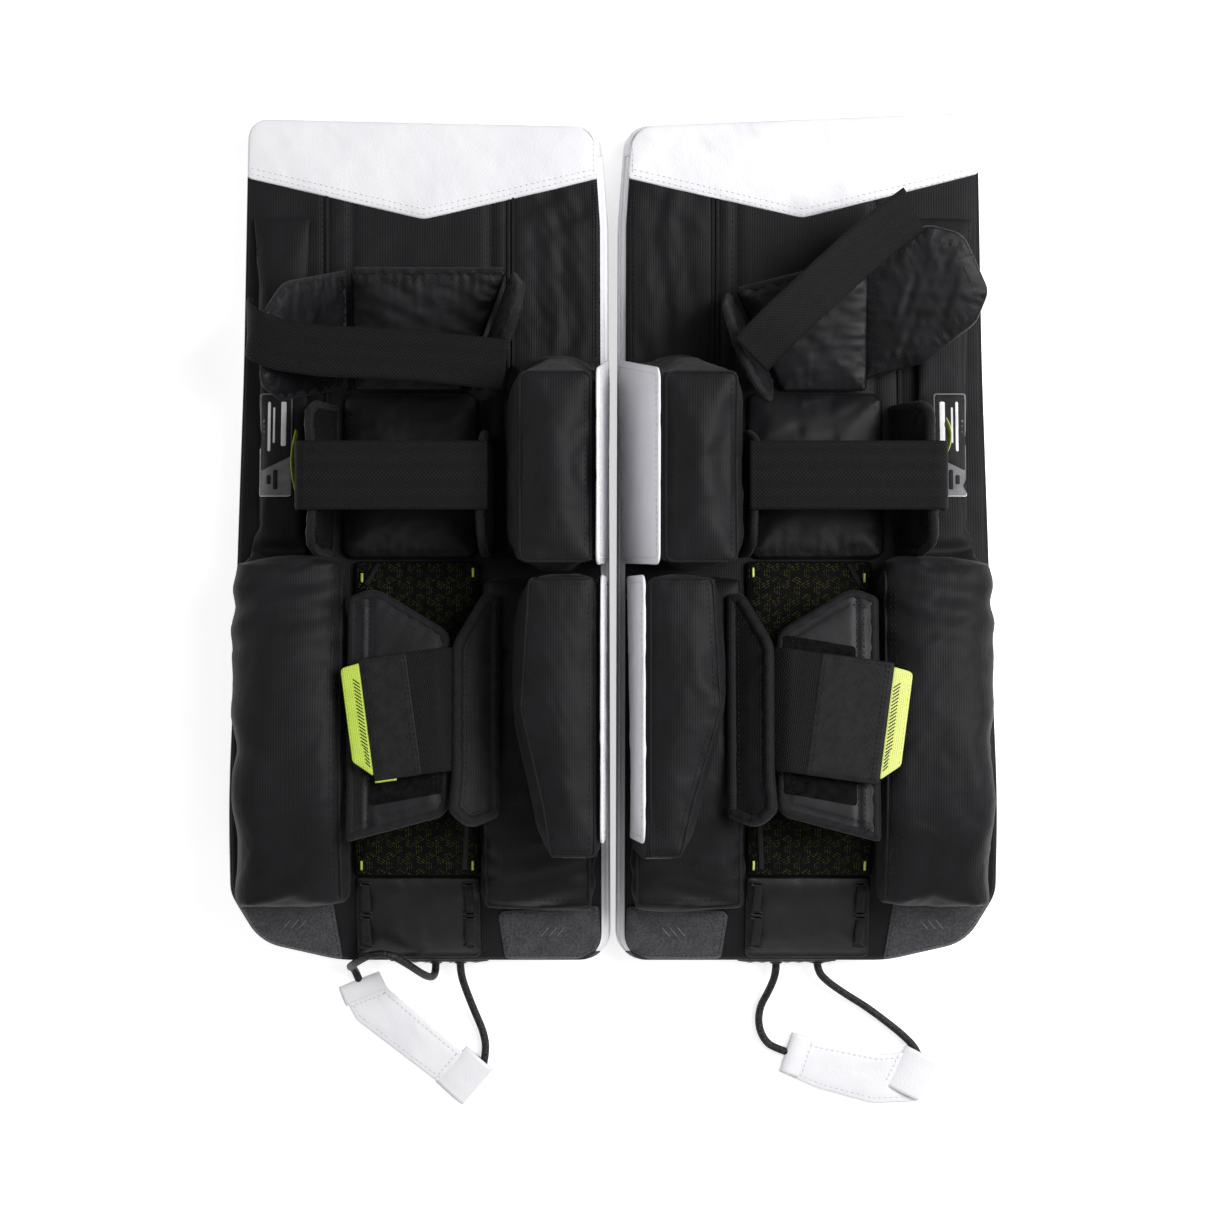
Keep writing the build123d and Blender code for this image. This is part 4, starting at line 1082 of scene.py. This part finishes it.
def behind_face(points, lean):
    """Keeps a block's cushion behind the white face on its inner side."""
    least = 2 + lean * (points[:, 2] - LEAN_FROM) / (BLOCK_TOP - LEAN_FROM) + 3.4
    points[:, 0] = np.maximum(points[:, 0], least)
    return points


def knee_block(side, blown):
    """The knee landing block: a boxed cushion with a piped top."""
    piece = Piece(side, "knee_block")
    points, normals, faces = blown
    u, y, z = points.T
    seed, lean = side["seed"] + 20, side["knee_lean"]
    folds = 0.5 * crumple(u + z, y, 46, seed) + 0.3 * crumple(u, y - z, 18, seed + 1)
    sides = np.clip((150 - z) / 60, 0, 1) * (normals[:, 2] < 0.5)
    folds += sides * 0.8 * np.sin(z / 5.2 + 1.3 * np.sin(y / 23))
    piece.add(behind_face(points + normals * folds[:, None], lean), faces, NYLON)
    block_seams(piece, box((2 + lean + 3.3, -22), (2 + lean + 61, 122), 9))
    return piece.make("black_nylon", fill=0.85)


def calf_block(side, blown):
    """The calf landing block on the inner roll, waisted towards the ankle."""
    piece = Piece(side, "calf_block")
    points, normals, faces = blown
    u, y, z = points.T
    seed, lean = side["seed"] + 24, side["calf_lean"]
    folds = 0.5 * crumple(u + z, y, 44, seed) + 0.3 * crumple(u, y - z, 17, seed + 1)
    piece.add(behind_face(points + normals * folds[:, None], lean), faces, NYLON)
    inner, shift = 5.3 + lean, 0.8 * (lean - 5)
    block_seams(piece, rounded([(inner, -28), (64 + shift, -28), (70 + shift, -126), (54 + shift * 0.6, -196),
                                (48 + shift * 0.3, -236), (inner, -236)], [7, 7, 30, 30, 6, 6]))
    return piece.make("black_nylon", fill=0.85)


def landing_faces(side):
    """White leather over the blocks' inner sides, turned in at the edges."""
    piece = Piece(side, "landing_faces")
    seed = side["seed"] + 27

    def face(lean, low_y, low_z, high_y):
        def place(y, z, h):
            t = (z - LEAN_FROM) / (BLOCK_TOP - LEAN_FROM)
            return 2 + lean * t + h, y, z
        floor = [(y, float(rise(y, low_z(y))) + 0.6) for y in np.linspace(low_y[0], low_y[1], 9)]
        outline = rounded([*floor, (high_y[1], BLOCK_TOP - 0.6), (high_y[0], BLOCK_TOP - 0.6)],
                          [3] + [0] * 7 + [3, 9, 9], 3.0)
        piece.leaf(outline, place, 2.9, LEATHER, edge=1.2, run=5, flat=False,
                   shape=lambda y, z, apart, along: 0.3 * crumple(y, z, 30, seed)
                   - 0.35 * np.exp(-((apart - 5) / 1.4) ** 2), both=True)
        outside = lambda y, z, h: place(y, z, -h)
        piece.stitches(inset(outline, 5), outside, WHITE_THREAD, 3.0, 1.6, 0.42, closed=True, high=30.0)
    face(side["knee_lean"], (-19, 137), lambda y: OVER, (-21.5, 121.5))
    face(side["calf_lean"], (-224, -29), lambda y: SLAB + 32.3, (-224, -28.5))
    return piece.make("white_synthetic_leather", fill=0.3)


# ---------------------------------------------------------------- knee cradle
def padded_folds(seed, deep=0.5, pitch=7.5, reach=10.0, size=24):
    """Gathers at the edge and soft folds across, as in thin foam between two skins."""
    return lambda u, y, apart, along: (deep * gathers(along, apart, pitch, reach, seed)
                                       + 0.8 * deep * crumple(u, y, size, seed)
                                       + 0.4 * deep * crumple(u, y, size * 0.42, seed + 1))


def wing_rows(piece, line, place, thick, space, radius):
    """A row of stitches near the edge, on both of a wing's faces."""
    for outside in (place, lambda p, q, h: place(p, q, thick - h)):
        piece.stitches(line, outside, BLACK_THREAD, 2.6, space, radius, closed=True, high=40.0)


def knee_cradle(side):
    """The padded floor that the knee rests on."""
    piece = Piece(side, "knee_cradle")
    outline = box((102.4, -15.6), (205.6, 111.3), 9)
    place = over_pad(OVER)
    piece.leaf(outline, place, 12.3, SATIN, edge=3.0, run=13, shape=padded_folds(side["seed"] + 30, 0.6))
    piece.stitches(inset(outline, 6), place, BLACK_THREAD, 2.6, 1.5, 0.4, closed=True)
    return piece.make("black_nylon", fill=0.5)


def cradle_roots(side):
    """Where the inner and the outer wing of the cradle start."""
    lean = side["cradle_lean"]
    padding = float(rise(-16, SLAB + 13))
    leant = lean * (padding - LEAN_FROM) / (CRADLE_TOP - LEAN_FROM)
    return CRADLE_INNER - WING - WING_CLEARANCE - leant, 206.3


def cradle_wing(side, name, root, lean, span):
    """A standing leaf of thin foam in satin, bound round its edge."""
    piece = Piece(side, f"knee_cradle_{name}_wing")
    seed = side["seed"] + (34 if name == "inner" else 37)

    def place(y, z, h):
        t = (z - LEAN_FROM) / (CRADLE_TOP - LEAN_FROM)
        wave = 1.6 * np.sin(y / 21 + seed) * np.clip(t, 0, 1) ** 2
        return root + lean * t + h + wave, y, z
    low, high = span
    floor = [(y, float(rise(y, OVER)) + 0.5) for y in np.linspace(low + 0.5, high - 0.5, 7)]
    top = CRADLE_TOP - 1.2
    outline = rounded([*floor, (high - 0.8, top - 26), (high - 8, top), (low + 8, top), (low + 0.8, top - 26)],
                      [2] + [0] * 5 + [2, 16, 14, 14, 16], 2.8)
    piece.leaf(outline, place, 11.0, SATIN, edge=2.4, run=11, flat=False, both=True,
               shape=padded_folds(seed, 0.55, 6.5, 9))
    piece.binding(outline, place, 5.5, 8.0, 3.4, BINDING, seed)
    wing_rows(piece, inset(outline, 8.6), place, 11, 1.5, 0.4)
    return piece.make("black_nylon", fill=0.35)


def knee_strap(side):
    """Wide elastic over the cradle's wings, its end turned down outside with a lime pull tab."""
    piece = Piece(side, "knee_strap")
    inner, outer = cradle_roots(side)
    start = inner + side["cradle_lean"] + 0.6
    end = outer + side["cradle_lean"] + OUTER_WING_LEAN + WING + 3.4
    z = CRADLE_TOP + 1.55
    path = rounded([(start, 45, z), (end, 45, z), (end + 0.2, 45, z - 40)], [0, 5.5, 0], 2.0, closed=False)
    piece.strap(path, (0, 1, 0), WIDE_WEBBING, 2.2, ELASTIC)
    for u in (start + 7, start + 10, end - 13, end - 10):
        piece.stitches([(u, 21.5), (u, 68.5)], straight, BLACK_THREAD, 2.6, 1.4, 0.4, high=200.0)
    t = np.linspace(0, 1, 12)
    arch = np.sin(t * math.pi)
    tab = np.stack([end + 1.6 + 2.6 * arch, side["tab_low"] + side["tab_long"] * t, z - 30 + 8 * arch], 1)
    piece.strap(tab, (0.25, 0, 1), 8.0, 1.0, side["lime"], step=2.0)
    return piece.make("elastic_webbing", body="knee_strap")


# ---------------------------------------------------------------- knee wrap
def wing_leaf(piece, outline, place, seed):
    """A wing's satin over thin foam."""
    piece.leaf(outline, place, 11.4, SATIN, edge=2.4, run=10, step=2.6, flat=False, both=True,
               shape=padded_folds(seed, 0.75, 6.0, 10, 20))


def wrap_center(side):
    """The wrap's floor: satin over thin foam, its top edge gathered under the binding."""
    piece = Piece(side, "knee_wrap_center")
    outline = rounded(side["panel"], 2, 2.8)
    place = lambda u, a, h: wrap_place(u, a, h - 6)
    seed = side["seed"] + 50
    piece.leaf(outline, place, 11.6, SATIN, edge=2.6, run=12, step=2.8, flat=False, both=True,
               shape=padded_folds(seed, 0.7, 6.2, 12))
    top = np.array([side["panel"][1], side["panel"][2]], float)
    line = even(top + np.array([(3, -1.5), (-2, -1.5)]), 2.5)
    spots = stack(wrap_place, line[:, 0], line[:, 1], 0.5 * np.sin(line[:, 0] / 2.4))
    spots[:, 2] += 0.6 * np.sin(line[:, 0] / 1.5 + 1.3 * np.sin(line[:, 0] / 9))
    piece.tube(spots, 3.4, BINDING, sides=10, squash=0.8)
    piece.stitches(line - (0, 6.5), place, BLACK_THREAD, 2.6, 1.3, 0.45)
    return piece.make("black_nylon", body="knee_wrap", fill=0.4)


def wrap_outer_wing(side):
    """The wrap's outer wing. The left one is bound all round; the right one is turned in at its edge."""
    piece = Piece(side, "knee_wrap_outer_wing")
    slope = math.radians(side["wing_slope"])
    root = side["wing_root"] + 0.3 + WING * math.sin(slope)

    def place(p, q, h):
        return wrap_place(root + p * math.cos(slope) - h * math.sin(slope), q,
                          -6 + p * math.sin(slope) + h * math.cos(slope))
    outline = rounded(side["wing"], side["wing_radii"], 2.6)
    seed = side["seed"] + 53
    wing_leaf(piece, outline, place, seed)
    if side["name"] == "left":
        piece.binding(inset(outline, 0.6), place, 5.7, 7.0, 3.0, BINDING, seed, 0.7)
    wing_rows(piece, inset(outline, 10), place, 11.4, 1.4, 0.45)
    return piece.make("black_nylon", body="knee_wrap", fill=0.35)


def inner_wing_place(side):
    """The leaning plane that the wrap's inner wing stands in, and the length of its root."""
    low, high = side["panel"][:2]
    root = np.array(wrap_place(low[0] - 0.3, low[1], -6))
    along = np.array(wrap_place(high[0] - 0.3, high[1], -6)) - root
    length = float(np.linalg.norm(along))
    along = unit(along)
    up = np.array([side["inner_lean"] / 84, -WRAP_SIN, WRAP_COS])
    up = unit(up - along * (up @ along))
    out = np.cross(along, up)

    def place(p, q, h):
        wave = 1.5 * np.sin(p / 15 + side["seed"]) * np.clip(q / 84, 0, 1) ** 2
        spot = root + p[:, None] * along + q[:, None] * up + (h - WING + wave)[:, None] * out
        return spot.T
    return place, length


def wrap_inner_wing(side):
    """The wrap's inner wing, standing along the block."""
    piece = Piece(side, "knee_wrap_inner_wing")
    (place, length), seed = inner_wing_place(side), side["seed"] + 56
    outline = rounded([(7, 0.5), (length - 0.5, 0.5), (length - 0.5, 52), (length * 0.8, 83.4),
                       (length * 0.14, 83.4), (3.4, 50.4)], [2, 2, 14, 18, 16, 10], 2.6)
    wing_leaf(piece, outline, place, seed)
    piece.binding(inset(outline, 0.6), place, 5.7, 9.0, 3.6, BINDING, seed, 0.5)
    wing_rows(piece, inset(outline, 10), place, 11.4, 1.4, 0.45)
    return piece.make("black_nylon", body="knee_wrap", fill=0.35)


def wrap_strap(side):
    """Narrow elastic across the wrap, from the inner wing to the outer one."""
    piece = Piece(side, "knee_wrap_strap")
    path = rounded(side["wrap_strap"], 30, 2.0, closed=False)
    piece.strap(path, side["wrap_across"], NARROW_WEBBING, 2.2, ELASTIC)
    return piece.make("elastic_webbing", body="knee_wrap_strap")


# ---------------------------------------------------------------- calf wrap
def calf_flap(side):
    """The flap by the block, thickly bound, with a stitched hem."""
    piece = Piece(side, "calf_flap")
    slope = math.radians(26.5)

    def place(p, q, h):
        return calf_place(87 + p * math.cos(slope) - h * math.sin(slope), q,
                          0.3 + p * math.sin(slope) + h * math.cos(slope))
    outline = rounded([(0.4, -78), (24, -88.6), (39.5, -76), (37, -50), (37.4, 48), (13, 87.4), (0.4, 87.4)],
                      [2, 16, 9, 24, 26, 12, 2], 2.6)
    seed = side["seed"] + 60
    piece.leaf(outline, place, 7.6, NYLON, edge=1.9, run=9, step=2.6, flat=False, both=True,
               shape=padded_folds(seed, 0.4, 8.5, 8))
    piece.binding(outline, place, 4.4, 9.0, 4.6, BINDING, seed, 0.35)
    piece.stitches(inset(outline, 9.6), place, BLACK_THREAD, 2.8, 1.4, 0.45, closed=True, high=40.0)
    return piece.make("black_nylon", body="calf_flap", fill=0.35)


def calf_wing(side):
    """The wing by the outer roll: a bound edge, a root seam and a fuzzy patch that the strap lands on."""
    piece = Piece(side, "calf_wing")
    place = lambda u, a, h: calf_place(u, a, 8 + h)
    outline = rounded([(122.0, -77.6), (196.8, -97.4), (196.8, 83.6), (178, 91.4), (122.0, 57.6)],
                      [12, 2, 4, 26, 14], 2.6)
    seed = side["seed"] + 64

    def shape(u, a, apart, along):
        root_seam, hem = np.exp(-((u - 181) / 1.8) ** 2), np.exp(-((apart - 8) / 1.4) ** 2)
        return padded_folds(seed, 0.25, 9, 9)(u, a, apart, along) - 1.4 * root_seam - 0.5 * hem
    piece.leaf(outline, place, 7.6, SATIN, edge=1.9, run=7, step=2.6, flat=False, shape=shape)
    piece.binding(outline, place, 3.8, 7.5, 3.4, BINDING, seed, 0.35)
    patch = rounded([(126, -62), (180, -72), (180, side["patch_top"] - 9), (126, side["patch_top"])], 2, 2.6)
    piece.leaf(patch, lambda u, a, h: place(u, a, h + 6.6), 1.7, LOOP, edge=0.6, run=2, step=2.6,
               shape=lambda u, a, apart, along: 0.15 * crumple(u, a, 5, seed))
    piece.stitches(inset(outline, 10.6), place, BLACK_THREAD, 2.8, 1.4, 0.45, closed=True, high=40.0)
    piece.stitches([(181.0, -84.0), (181.0, 82.0)], place, BLACK_THREAD, 2.8, 1.4, 0.45, high=40.0)
    return piece.make("black_nylon", body="calf_wing", fill=0.3)


def calf_strap_place(p, q, h):
    """On the calf strap, p running out from its root and q up the shin."""
    turn = math.radians(8)
    u = STRAP_ROOT + p * math.cos(turn) + q * math.sin(turn)
    return calf_place(u, 2 - p * math.sin(turn) + q * math.cos(turn), 24.715 + h)


def calf_strap(side):
    """Broad elastic sewn to a smoother hook piece."""
    piece = Piece(side, "calf_strap")
    length, joint = side["strap_end"] - STRAP_ROOT, 46.0
    elastic = rounded([(21.0, -45.7), (joint, -45.7), (joint, 45.7), (8.1, 45.7)], 0.8, 2.5)
    hooks = box((joint - 3, -45.9), (length - 0.2, 45.9), 1.5, 2.5)
    seed = side["seed"] + 70

    def wave(u, a, apart, along):
        return 0.2 * crumple(u, a, 30, seed) + 0.35 * np.exp(-(apart / 1.4) ** 2)

    def tucked(p, q, h):
        # its sewn end goes down under the flap's binding
        return calf_strap_place(p, q, h - 6 * np.clip((27 - p - 0.14 * q) / 12, 0, 1) ** 1.4)
    piece.leaf(elastic, tucked, 2.1, ELASTIC, edge=0.9, run=2, step=2.5, shape=wave)
    piece.leaf(hooks, lambda p, q, h: calf_strap_place(p, q, h + 0.3), 2.2, HOOK, edge=0.8, run=2, step=2.5,
               shape=wave)
    rows = [([(p, -43.0), (p, 43.0)], 0.42) for p in (joint - 1, joint + 2, length - 4, length - 6.6)]
    rows += [([(joint + 3, q), (length - 3, q)], 0.36) for q in (-42.6, 42.6)]
    for row, radius in rows:
        piece.stitches(row, calf_strap_place, BLACK_THREAD, 2.4, 1.4, radius, high=20.0)
    return piece.make("elastic_webbing", body="calf_strap")


def calf_strap_tab(side):
    """The lime pull tab, ruled with short slanting lines beside the strap. The left one shows below it too."""
    piece = Piece(side, "calf_strap_tab")
    start = side["strap_end"] - STRAP_ROOT + 0.3
    outline = rounded([(start - 1.5, -42.8), (start + 13.6, -29.2), (start + 13.6, 40.6), (start - 1.5, 42.8)],
                      [1, 3, 3, 1], 2.4)
    piece.leaf(outline, calf_strap_place, 1.7, side["lime"], edge=0.7, run=2, step=2.4,
               shape=lambda u, a, apart, along: 0.12 * crumple(u, a, 18, side["seed"]))
    for q in np.arange(-33, 31, 2.7):
        long = 4.4 if q > -20 else 3.0
        rule = even([(start + 0.8, q - 2.0), (start + 0.8 + long, q + 2.0)], 2.4)
        spots = piece.onto(rule, calf_strap_place, lift=0.03)
        piece.tube(spots, 0.42, BLACK_THREAD, sides=5)
    piece.stitches([(start + 12.0, -28.0), (start + 12.0, 39.0)], calf_strap_place, side["lime"], 2.4, 1.2, 0.3,
                   high=20.0)
    if side["name"] == "left":
        under = stack(calf_strap_place, np.linspace(start - 17, start - 1, 8), np.full(8, -46.4), 0.6)
        piece.tube(under, 0.9, side["lime"], sides=6)
    return piece.make("lime_tab", body="calf_strap")


# ---------------------------------------------------------------- toe strap
def toe_bridge(side):
    """The webbing anchor that both cords are tied in: a rounded bar with moulded ribs."""
    piece = Piece(side, "toe_bridge")
    outline = box((95.4, 10.4), (172.6, 25.6), 5, 2.0)
    place = lambda u, z, h: (u, TOE - 0.5 - h, z)

    def shape(u, z, apart, along):
        return 0.35 * np.sin(u / 1.5) * np.clip(apart / 3, 0, 1) - 0.8 * np.exp(-((apart - 3) / 0.9) ** 2)
    piece.leaf(outline, place, 4.2, BOARD, edge=1.3, run=3, step=2.0, shape=shape)
    # a moulded rim round each cord's hole
    for u, _, z in sorted(route[0] for _, route in side["toe_cords"].values()):
        rim = [(u + 4.1 * math.cos(a), TOE - 4.7, z + 4.1 * math.sin(a)) for a in np.arange(0, TAU, 0.35)]
        piece.tube(rim, 0.8, BOARD, closed=True, sides=6)
    return piece.make("black_nylon")


def fold_section(wide, wall):
    """A fold's section: flat below, round over the cord, pinched down where it is sewn to the strap."""
    t = np.linspace(0, TAU, 29)[:-1]
    pinch = (0.62 + 0.38 * (1 - np.cos(t)) / 2) ** (0.9 if wide > 20 else 0.6)
    across = wide / 2 + (wide / 2 - wall) * np.cos(t)
    return np.stack([across, FOLD_MIDDLE + (5.1 - wall) * np.sin(t) * pinch], 1)


def toe_fold(piece, start, end, wide, middle, seed):
    """A sleeve of leather between two corners of the toe strap, with a row of stitches beside it."""
    along, long = unit(end - start), float(np.linalg.norm(end - start))
    inward = np.array([along[1], -along[0]])
    if inward @ (middle - start) < 0:
        inward = -inward
    spots = np.linspace(0.2, long - 0.2, 13)
    outer, inner = fold_section(wide, 0), fold_section(wide, 1.7)
    points, lay = [], []
    for loop in (outer, inner):
        for d in spots:
            swell = min(1 + 0.03 * math.sin(d / 2.1 + seed), 1.0)
            base = start + along * d
            for a, z in loop:
                points.append((*(base + inward * a), FOLD_MIDDLE + (z - FOLD_MIDDLE) * swell))
                lay.append((d, a))
    n, m = len(spots), len(outer)
    faces = [face for i in range(n - 1) for face in quads(i * m, (i + 1) * m, m)]
    faces += [tuple(k + n * m for k in face[::-1]) for face in faces]
    for a in (0, (n - 1) * m):
        b = a + n * m
        ends = [(a + k, b + k, b + (k + 1) % m, a + (k + 1) % m) for k in range(m)]
        faces += [face[::-1] for face in ends] if a else ends
    piece.add(points, faces, LEATHER, lay)
    row = start + inward * (wide + 1.5)
    piece.stitches([row + along * 2, row + along * (long - 2)], lambda u, y, h: (u, y, 4.0 + h), WHITE_THREAD,
                   2.6, 1.2, 0.45, high=30.0)


def toe_tab(side):
    """The white toe strap: a stitched body, and a fold at each end that holds a cord."""
    piece = Piece(side, "toe_tab")
    outline = rounded([(u, TOE + y) for u, y in side["toe_tab"]], 4, 2.4)
    place = lambda u, y, h: (u, y, 4.0 + h)
    seed = side["seed"] + 80

    def shape(u, y, apart, along):
        return 0.2 * crumple(u, y, 16, seed) - 0.35 * np.exp(-((apart - 4) / 1) ** 2)
    piece.leaf(outline, place, 3.0, LEATHER, edge=1.2, run=3, step=2.4, flat=False, shape=shape)
    piece.stitches(inset(outline, 4), place, WHITE_THREAD, 2.8, 1.5, 0.42, closed=True, high=30.0)
    for (u0, y0), (u1, y1), wide in side["toe_folds"]:
        toe_fold(piece, np.array([u0, TOE + y0]), np.array([u1, TOE + y1]), wide, outline.mean(0), seed)
    return piece.make("white_synthetic_leather")


# ---------------------------------------------------------------- floor and light
def floor():
    """A plain pale floor that shows the pads' shadow."""
    finish = blank_finish("painted_floor")
    seen = add(finish, "LightPath")
    rays = add(finish, "Math", {0: seen.outputs["Is Camera Ray"], 1: seen.outputs["Is Glossy Ray"]},
               operation="MAXIMUM")
    rays = add(finish, "Math", {0: rays.outputs[0], 1: seen.outputs["Is Transmission Ray"]},
               operation="MAXIMUM")
    paint = add(finish, "BsdfDiffuse", {"Color": linear("#f4f4f4")})
    glow = add(finish, "Emission", {"Color": linear("#ffffff"), "Strength": 0.6})
    both = add(finish, "AddShader", {0: paint.outputs[0], 1: glow.outputs[0]})
    shown = add(finish, "MixShader", {"Fac": rays.outputs[0], 1: paint.outputs[0], 2: both.outputs[0]})
    add(finish, "OutputMaterial", {"Surface": shown.outputs[0]})
    mesh = bpy.data.meshes.new("floor")
    corners = [(-6, -6), (6, -6), (6, 6), (-6, 6)]
    mesh.from_pydata([(x, y, -0.0008) for x, y in corners], [], [(0, 1, 2, 3)])
    mesh.materials.append(finish)
    ground = bpy.data.objects.new("floor", mesh)
    bpy.context.collection.objects.link(ground)


def lights():
    """Large soft lamps over the pads, and an even pale room."""
    for name, place, size, power in (("key", (1.4, 0.4, 1.7), 1.2, 42.0), ("fill", (-2.1, 0.3, 1.2), 1.4, 9.0),
                                     ("top", (0.9, 0.3, 2.3), 0.9, 11.0), ("low", (0.2, -2.2, 1.2), 1.2, 6.0)):
        data = bpy.data.lights.new(name, "AREA")
        data.shape, data.size, data.energy = "DISK", size, power
        lamp = bpy.data.objects.new(name, data)
        lamp.location = place
        lamp.rotation_euler = (Vector((0, 0, 0.05)) - Vector(place)).to_track_quat("-Z", "Y").to_euler()
        bpy.context.collection.objects.link(lamp)
    world = bpy.data.worlds.new("room")
    world.use_nodes = True
    bpy.context.scene.world = world
    world.node_tree.nodes.clear()
    seen = add(world, "LightPath").outputs["Is Camera Ray"]
    level = add(world, "MapRange", {"Value": seen, "To Min": 0.27, "To Max": 1.0}).outputs[0]
    back = add(world, "Background", {"Color": (1, 1, 1, 1), "Strength": level})
    add(world, "OutputWorld", {"Surface": back.outputs[0]})


# ---------------------------------------------------------------- making them
LEATHER = white_synthetic_leather()
NYLON = black_nylon()
SATIN = satin_lining()
BINDING = edge_binding()
LINER = printed_liner()
PRINT = liner_print()
SMOOTH = smooth_black_panel()
LACE = flat_lace()
PATCH = dark_grey_patch()
ELASTIC = elastic_webbing()
HOOK = printed_label("hook_tape", "#0b0b0b", "#191919")
LOOP = loop_pile()
LABEL_GREY = printed_label("label_grey", "#6a6a6d", "#7c7c7f")
LABEL_BLACK = printed_label("label_black", "#161617", "#1f1f20")
LABEL_WHITE = printed_label("label_white", "#dcdcde", "#ececee")
WHITE_THREAD = sewing_thread("white_thread", "#cfcfd4", "#e6e6ea")
BLACK_THREAD = sewing_thread("black_thread", "#070708", "#1c1c1e")
CORD = bungee_cord()
FOAM = closed_cell_foam("cushion_foam", "#8d8d90", "#a9a9ac")
BOARD = moulded_plastic("board_plastic", "#1a1a1c", "#26262a")

camera()
for side in (RIGHT, LEFT):
    # one lime tape, its colour painted lighter on the right pad and darker on the left as painted light
    side["lime"] = lime_webbing(f"lime_webbing_{side['name']}", side["tab_lime"])
    for cord_name in side["toe_cords"]:
        toe_cord(side, cord_name, CORD)

blown = plump([f"{side['name']}_{name}" for side in (RIGHT, LEFT)
               for name in ("outer_roll", "inner_roll", "knee_block", "calf_block")])
for side in (RIGHT, LEFT):
    for make in (outer_roll, inner_roll, knee_block, calf_block):
        make(side, blown[f"{side['name']}_{make.__name__}"])
    for make in (face_cover, foam_core, back_cover, thigh_panel, shin_liner, boot_panel, laces, sewn_patches,
                 landing_faces, knee_cradle, knee_strap, wrap_center, wrap_outer_wing, wrap_inner_wing,
                 wrap_strap, calf_flap, calf_wing, calf_strap, calf_strap_tab, toe_bridge, toe_tab):
        make(side)
    inner, outer = cradle_roots(side)
    cradle_wing(side, "inner", inner, side["cradle_lean"], (-15.0, 80.0))
    cradle_wing(side, "outer", outer, side["cradle_lean"] + OUTER_WING_LEAN, (-14.0, 102.0))
    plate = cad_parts[f"{side['name']}_stiffener_plate"]
    plate.data.materials.clear()
    plate.data.materials.append(BOARD)
floor()
lights()
bpy.context.scene.view_settings.view_transform = "Standard"
